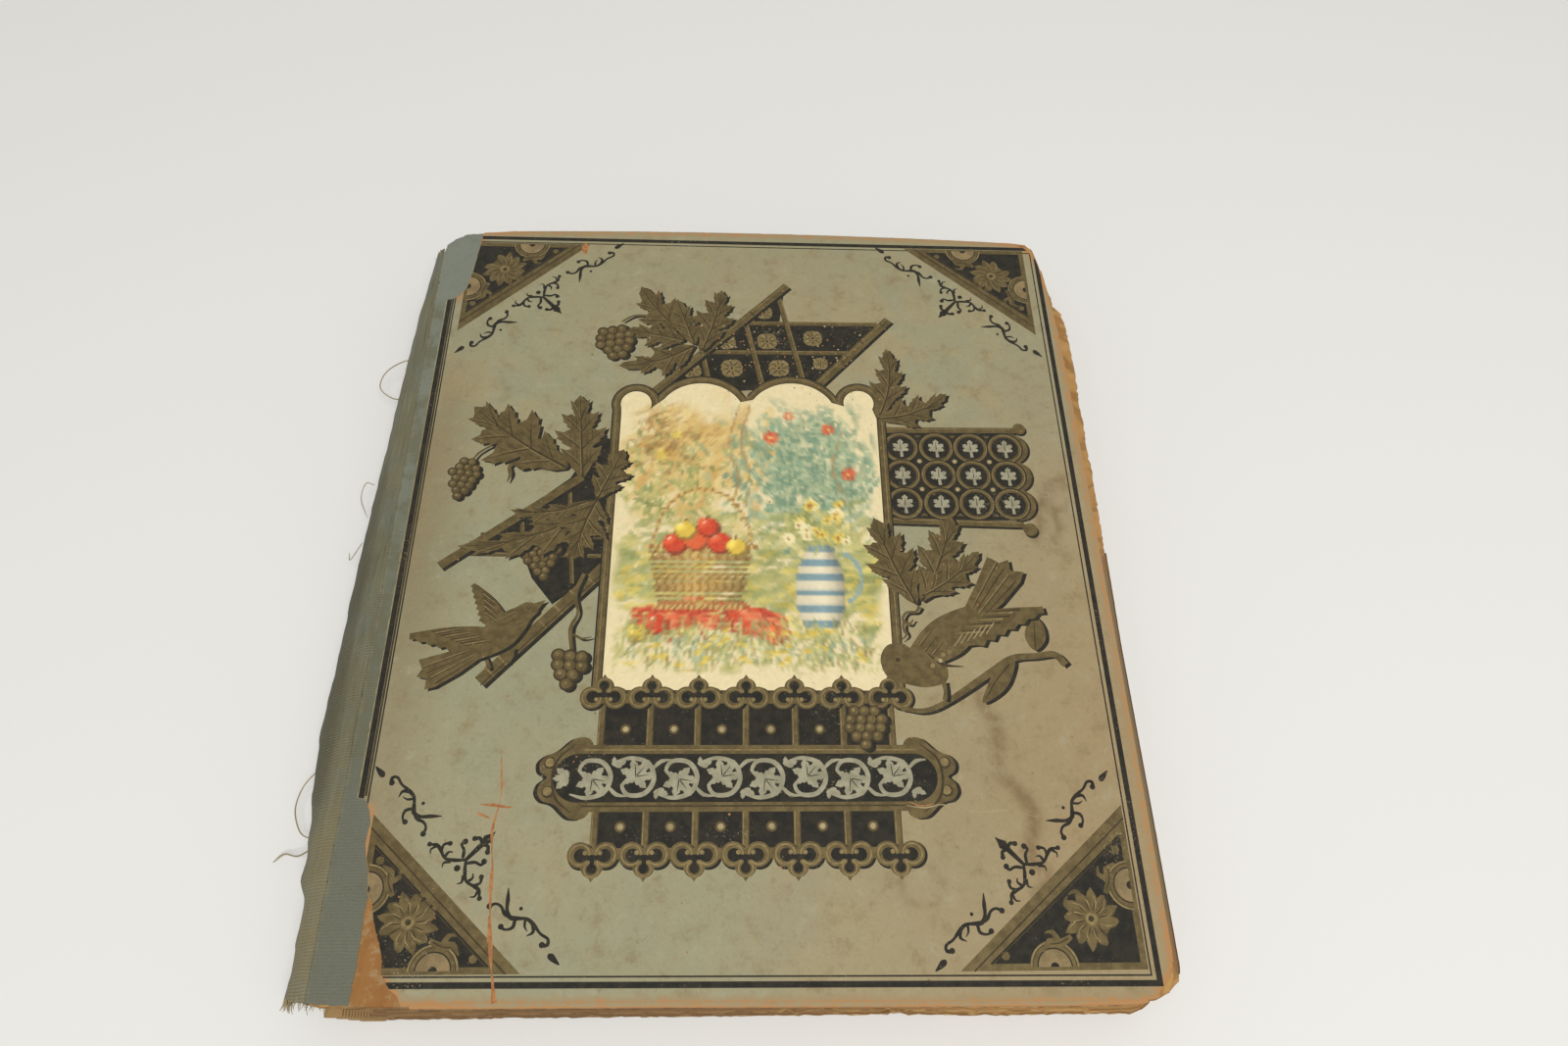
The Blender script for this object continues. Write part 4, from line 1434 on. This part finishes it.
def cloth_finish(name, fresh):
    """Faded book cloth in fine cross ribs; fresh is how much of its first blue-grey is left."""
    finish, shader, place = new_finish(name, 0.93, specular=0.1, sheen=0.06)
    x, y, z = place.x, place.y, place.z
    rib = sine(y * (2 * math.pi / rib_pitch) + mottle(place, 7, 3) * 9.0)
    warp = sine((x + z) * (2 * math.pi / warp_pitch))
    streak, fuzz = mottle(place, 1.9, 4, 0.7, (1, 0.09, 1)), mottle(place, 0.7, 5, 0.8)
    edge = between(x, -142.5, -148.5, 0, 0.7) * between(y, -108, -88, 0.2, 1)
    khaki = washed(
        mix(mottle(place, 30, 3), (102, 101, 78), (116, 110, 82)),
        (between(mottle(place, 17, 3), 0.48, 0.62, 0, 0.6), (103, 109, 97)),
        (between(streak, 0.5, 0.7, 0, 0.6), (72, 70, 54)),
        (between(streak, 0.45, 0.28, 0, 0.5), (142, 138, 112)),
        (between(y, -60, -115, 0, 0.45), (142, 128, 92)),
        (edge * between(y, 60, 0), (74, 70, 50)),
        (between(z, 20.5, 11, 0, 0.75), (66, 66, 50)))
    aged = between(mottle(place, 11, 4, 0.65), 0.42, 0.62, 0.15, 0.8) * between(y, -92, -84)
    blue = washed(
        mix(between(y, -60, 60), (107, 108, 93), (124, 128, 114)),
        (aged * between(y, 112, 100), (104, 102, 80)),
        (between(mottle(place, 6, 4, 0.7), 0.5, 0.8, 0, 0.4), (92, 92, 78)))
    ridge = abs(x + 137.9) + mottle(place, 5, 4, 0.7) * 4.0
    shown = between(mottle(place, 12, 3), 0.4, 0.65, 0.14 - 0.14 * fresh, 0.3 - 0.23 * fresh)
    colour = washed(
        mix(fresh, khaki, blue),
        (between(z, 23.2, 24.4) * between(ridge, 3.0, 0.6, 0, 0.5), (148, 134, 98)),
        (between(rib, 0.0, 1.0) * shown, (168, 164, 142)),
        (between(warp, 0.3, 1.0, 0, 0.1), (60, 60, 48)),
        (between(fuzz, 0.52, 0.72, 0, 0.45), (76, 74, 58)),
        (between(fuzz, 0.42, 0.25, 0, 0.4), (156, 150, 124)))
    dress(shader, colour, rib * 0.3 + fuzz, 0.1)
    return finish


cloth_outside, cloth_covered = [cloth_finish("book_cloth_" + name, fresh) for name, fresh in (
    ("faded", 0.0), ("fresh", 1.0))]
strand_finish, shader, place = new_finish("frayed_thread", 0.9, specular=0.1, sheen=0.1)
dress(shader, mix(mottle(place, 6, 3), (122, 116, 90), (170, 150, 110)))
for piece, finish, body, solid in ((front_strip, cloth_covered, "front_cover", "front_joint_cloth"),
                                   (back_strip, cloth_outside, "back_cover", "back_joint_cloth"),
                                   (spine_cloth, cloth_outside, "spine", "spine_cloth"),
                                   (spine_frays, strand_finish, "spine", "spine_cloth")):
    piece.data.materials.append(finish)
    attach(piece, body)
    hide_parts(solid)
for piece in (spine_cloth, spine_frays):
    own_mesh(piece)

# The leaves: heavy pulp paper gone brown and brittle, chipped along the edges, folded in pairs
# and sewn through the fold. Each bends at its fold as it is turned.
leaf_names = ["front_flyleaf"] + [f"leaf_{i:02d}" for i in range(1, 15)] + ["back_flyleaf"]


def leaf_colour(place):
    """Browned pulp paper: buff in the middle of a leaf, brown and flecked towards its edges."""
    fibre = mottle(place, 0.6, 5, 0.75)
    return washed(
        mix(mottle(place, 60, 3), (196, 166, 118), (178, 144, 94)),
        (between(mottle(place, 12, 5, 0.7), 0.52, 0.72, 0, 0.5), (158, 120, 74)),
        (between(fibre, 0.56, 0.75, 0, 0.45), (128, 92, 54)),
        (between(fibre, 0.4, 0.25, 0, 0.4), (210, 182, 134)))


leaf_paper, shader, place = new_finish("leaf_paper_browned", 0.9, specular=0.12)
browned = mark(place, "rim") - mottle(place, 11, 4, 0.65) * 22.0
soiled = between(place.y, -146, -150, 0, 0.75) * between(place.x, 90, -30, 0.1, 1)
colour = washed(leaf_colour(place), (between(browned, 3, -9, 0, 0.8), (164, 124, 76)),
                (soiled, (112, 88, 64)))
layered = sine(place.z * 15.0 + mottle(place, 9, 3) * 14.0)
edge_tone = washed(
    mix(between(layered, -0.6, 0.8), (122, 88, 50), (188, 152, 98)),
    (between(mottle(place, 5, 4, 0.7), 0.5, 0.7, 0, 0.6), (108, 76, 44)),
    (between(place.x, 70, -50, 0, 0.6), (104, 84, 62)))
dress(shader, mix(between(mark(place, "rim"), 0.5, 0.05), colour, edge_tone),
      mottle(place, 0.5, 4, 0.7) + mottle(place, 12, 2), 0.1)
leaf_pitch, leaf_thickness, fold_thickness = 1.15, 0.8, 0.3
leaf_width, half_height, leaf_middle = 237.0, 146, -8.7
stack_foot, stack_depth, fold_inset = 3.5, len(leaf_names) * leaf_pitch, 9
lean = slip / float(front_joint[1] - back_joint[1])
joint_x, joint_z = back_joint.tolist()
for k, name in enumerate(leaf_names, 1):
    height = stack_foot + (len(leaf_names) - k + 0.5) * leaf_pitch
    fold = joint_x - (height - joint_z) * lean + fold_inset
    middle = leaf_middle + 0.8 * math.sin(math.radians(137 * k))
    chance = random.Random(500 + k)
    fore = fold + leaf_width + chance.uniform(-0.5, 0.3)
    tail, head, round_off = middle - half_height, middle + half_height, 8 + chance.uniform(-1, 3)
    turned = [(math.sin(a), math.cos(a)) for a in np.radians((20, 45, 70))]
    outline = [(fold - 0.8, tail), (fore - round_off, tail)]
    outline += [(fore - round_off * (1 - s), tail + round_off * (1 - c)) for s, c in turned]
    outline += [(fore, tail + round_off), (fore, head - round_off)]
    outline += [(fore - round_off * (1 - c), head - round_off * (1 - s)) for s, c in turned]
    outline += [(fore - round_off, head), (fold - 0.8, head)]
    outline = worn(np.array(outline), 1.6, 0.11, 600 + k)
    short = np.interp(outline[:, 0], (-100, 30, 60, 110), (1.5, 1.2, 0.6, 0.6))
    short += chance.uniform(-0.4, 0.5)
    short += np.interp(height, (9, 14, 22), (0, 1.6, 2.4))
    outline[:, 1] += np.where(outline[:, 1] < tail + 12, short, 0)
    for _ in range(16):
        chip = outline[chance.randrange(len(outline))].copy()
        size = chance.uniform(1.0, 3.4)
        if chip[0] > fold + 20:
            away = np.hypot(*(outline - chip).T)
            pull = np.clip(1 - away / size, 0, 1)[:, None] * 0.55 * size
            inwards = (-60, middle) - outline
            outline = outline + pull * inwards / np.hypot(*inwards.T)[:, None]

    def sag(x, y, low=height, inner=fold):
        """The common warp of the old leaves, more of it higher in the stack."""
        share = np.clip((low - stack_foot) / stack_depth, 0, 1) ** 1.5
        return share * np.clip((x - inner - 8) / 60, 0, 1) * 0.28 * np.sin(y / 31) * np.sin(x / 47)

    def thick(x, inner=fold):
        """Half the leaf's thickness, which is less at the fold."""
        depths = (fold_thickness, fold_thickness, leaf_thickness)
        return np.interp(x, (inner + 1, inner + 4.8, inner + 5.4), depths) / 2

    near_fold = [(fold + dx, y) for dx in (-0.3, 0.2, 0.7, 1.4, 3, 4.6, 5.6, 8)
                 for y in np.arange(tail + 3, head - 2, 9)]
    leaf = cut_sheet(name + "_sheet", outline, lambda x, y: height + sag(x, y) + thick(x),
                     lambda x, y: height + sag(x, y) - thick(x), 14,
                     wall=((0, 0), (0.25, 0.1), (0.75, 0.1), (1, 0)), extra=(near_fold,))
    leaf.data.materials.append(leaf_paper)
    (fold - 0.8) / 1000
    height / 1000
    (fold + 1) / 1000
    height / 1000
    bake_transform(leaf)
    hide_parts(name)

# Inside: the sewn folds of the four sections, their linen thread, the tapes and the lining
# glued over the folds, and the sheets pasted down inside the covers over the tape ends.


def dressed(solids, finish):
    """Gives pieces of the construction their finish as they are."""
    for name in solids:
        solid = bpy.data.objects[name]
        for slot in solid.material_slots:
            slot.material = finish


fold_paper, shader, place = new_finish("folded_leaf_paper", 0.9, specular=0.12)
dress(shader, mix(0.55, leaf_colour(place), (122, 94, 62)), mottle(place, 0.5, 4, 0.7), 0.06)
dressed(["section_1", "section_2", "section_3", "section_4"], fold_paper)

endpaper, shader, place = new_finish("pastedown_paper", 0.88, specular=0.15)
colour = washed(
    mix(mottle(place, 45, 4), (206, 188, 150), (184, 160, 118)),
    (between(mottle(place, 9, 5, 0.7), 0.58, 0.76, 0, 0.6), (156, 122, 80)),
    (between(place.x, -112, -128, 0, 0.55), (150, 118, 78)))
dress(shader, colour, mottle(place, 0.5, 4, 0.7) + mottle(place, 16, 2), 0.08)
dressed(["front_pastedown", "back_pastedown"], endpaper)


def woven(name, light, dark, pitch, rough):
    """A coarse plain weave: threads over and under one another."""
    finish, shader, place = new_finish(name, rough, specular=0.1, sheen=0.1)
    weave = []
    for along, stretch in ((place.y, (0.1, 1, 0.1)), (place.z, (1, 0.1, 1))):
        wander = mottle(place, pitch * 4, 2, 0.5, stretch) * 2.5
        weave.append(sine(along * (2 * math.pi / pitch) + wander))
    threads = weave[0] * weave[1]
    colour = washed(mix(between(threads, -0.8, 0.8), dark, light),
                    (between(mottle(place, 8, 4, 0.7), 0.5, 0.8, 0, 0.5), tuple(c * 0.82 for c in dark)))
    dress(shader, colour, threads, 0.1)
    return finish


dressed(["spine_lining"], woven("mull_lining", (206, 190, 152), (164, 142, 102), 1.3, 0.95))
dressed(["sewing_tapes", "front_tape_ends", "back_tape_ends"],
        woven("linen_tape", (222, 212, 184), (182, 168, 134), 0.7, 0.9))

thread_finish, shader, place = new_finish("linen_thread", 0.75, specular=0.2, sheen=0.2)
twist = sine(place.y * 9.0)
dress(shader, mix(between(twist, -1, 1), (196, 182, 146), (228, 218, 190)), twist, 0.08)
dressed(["sewing_thread"], thread_finish)
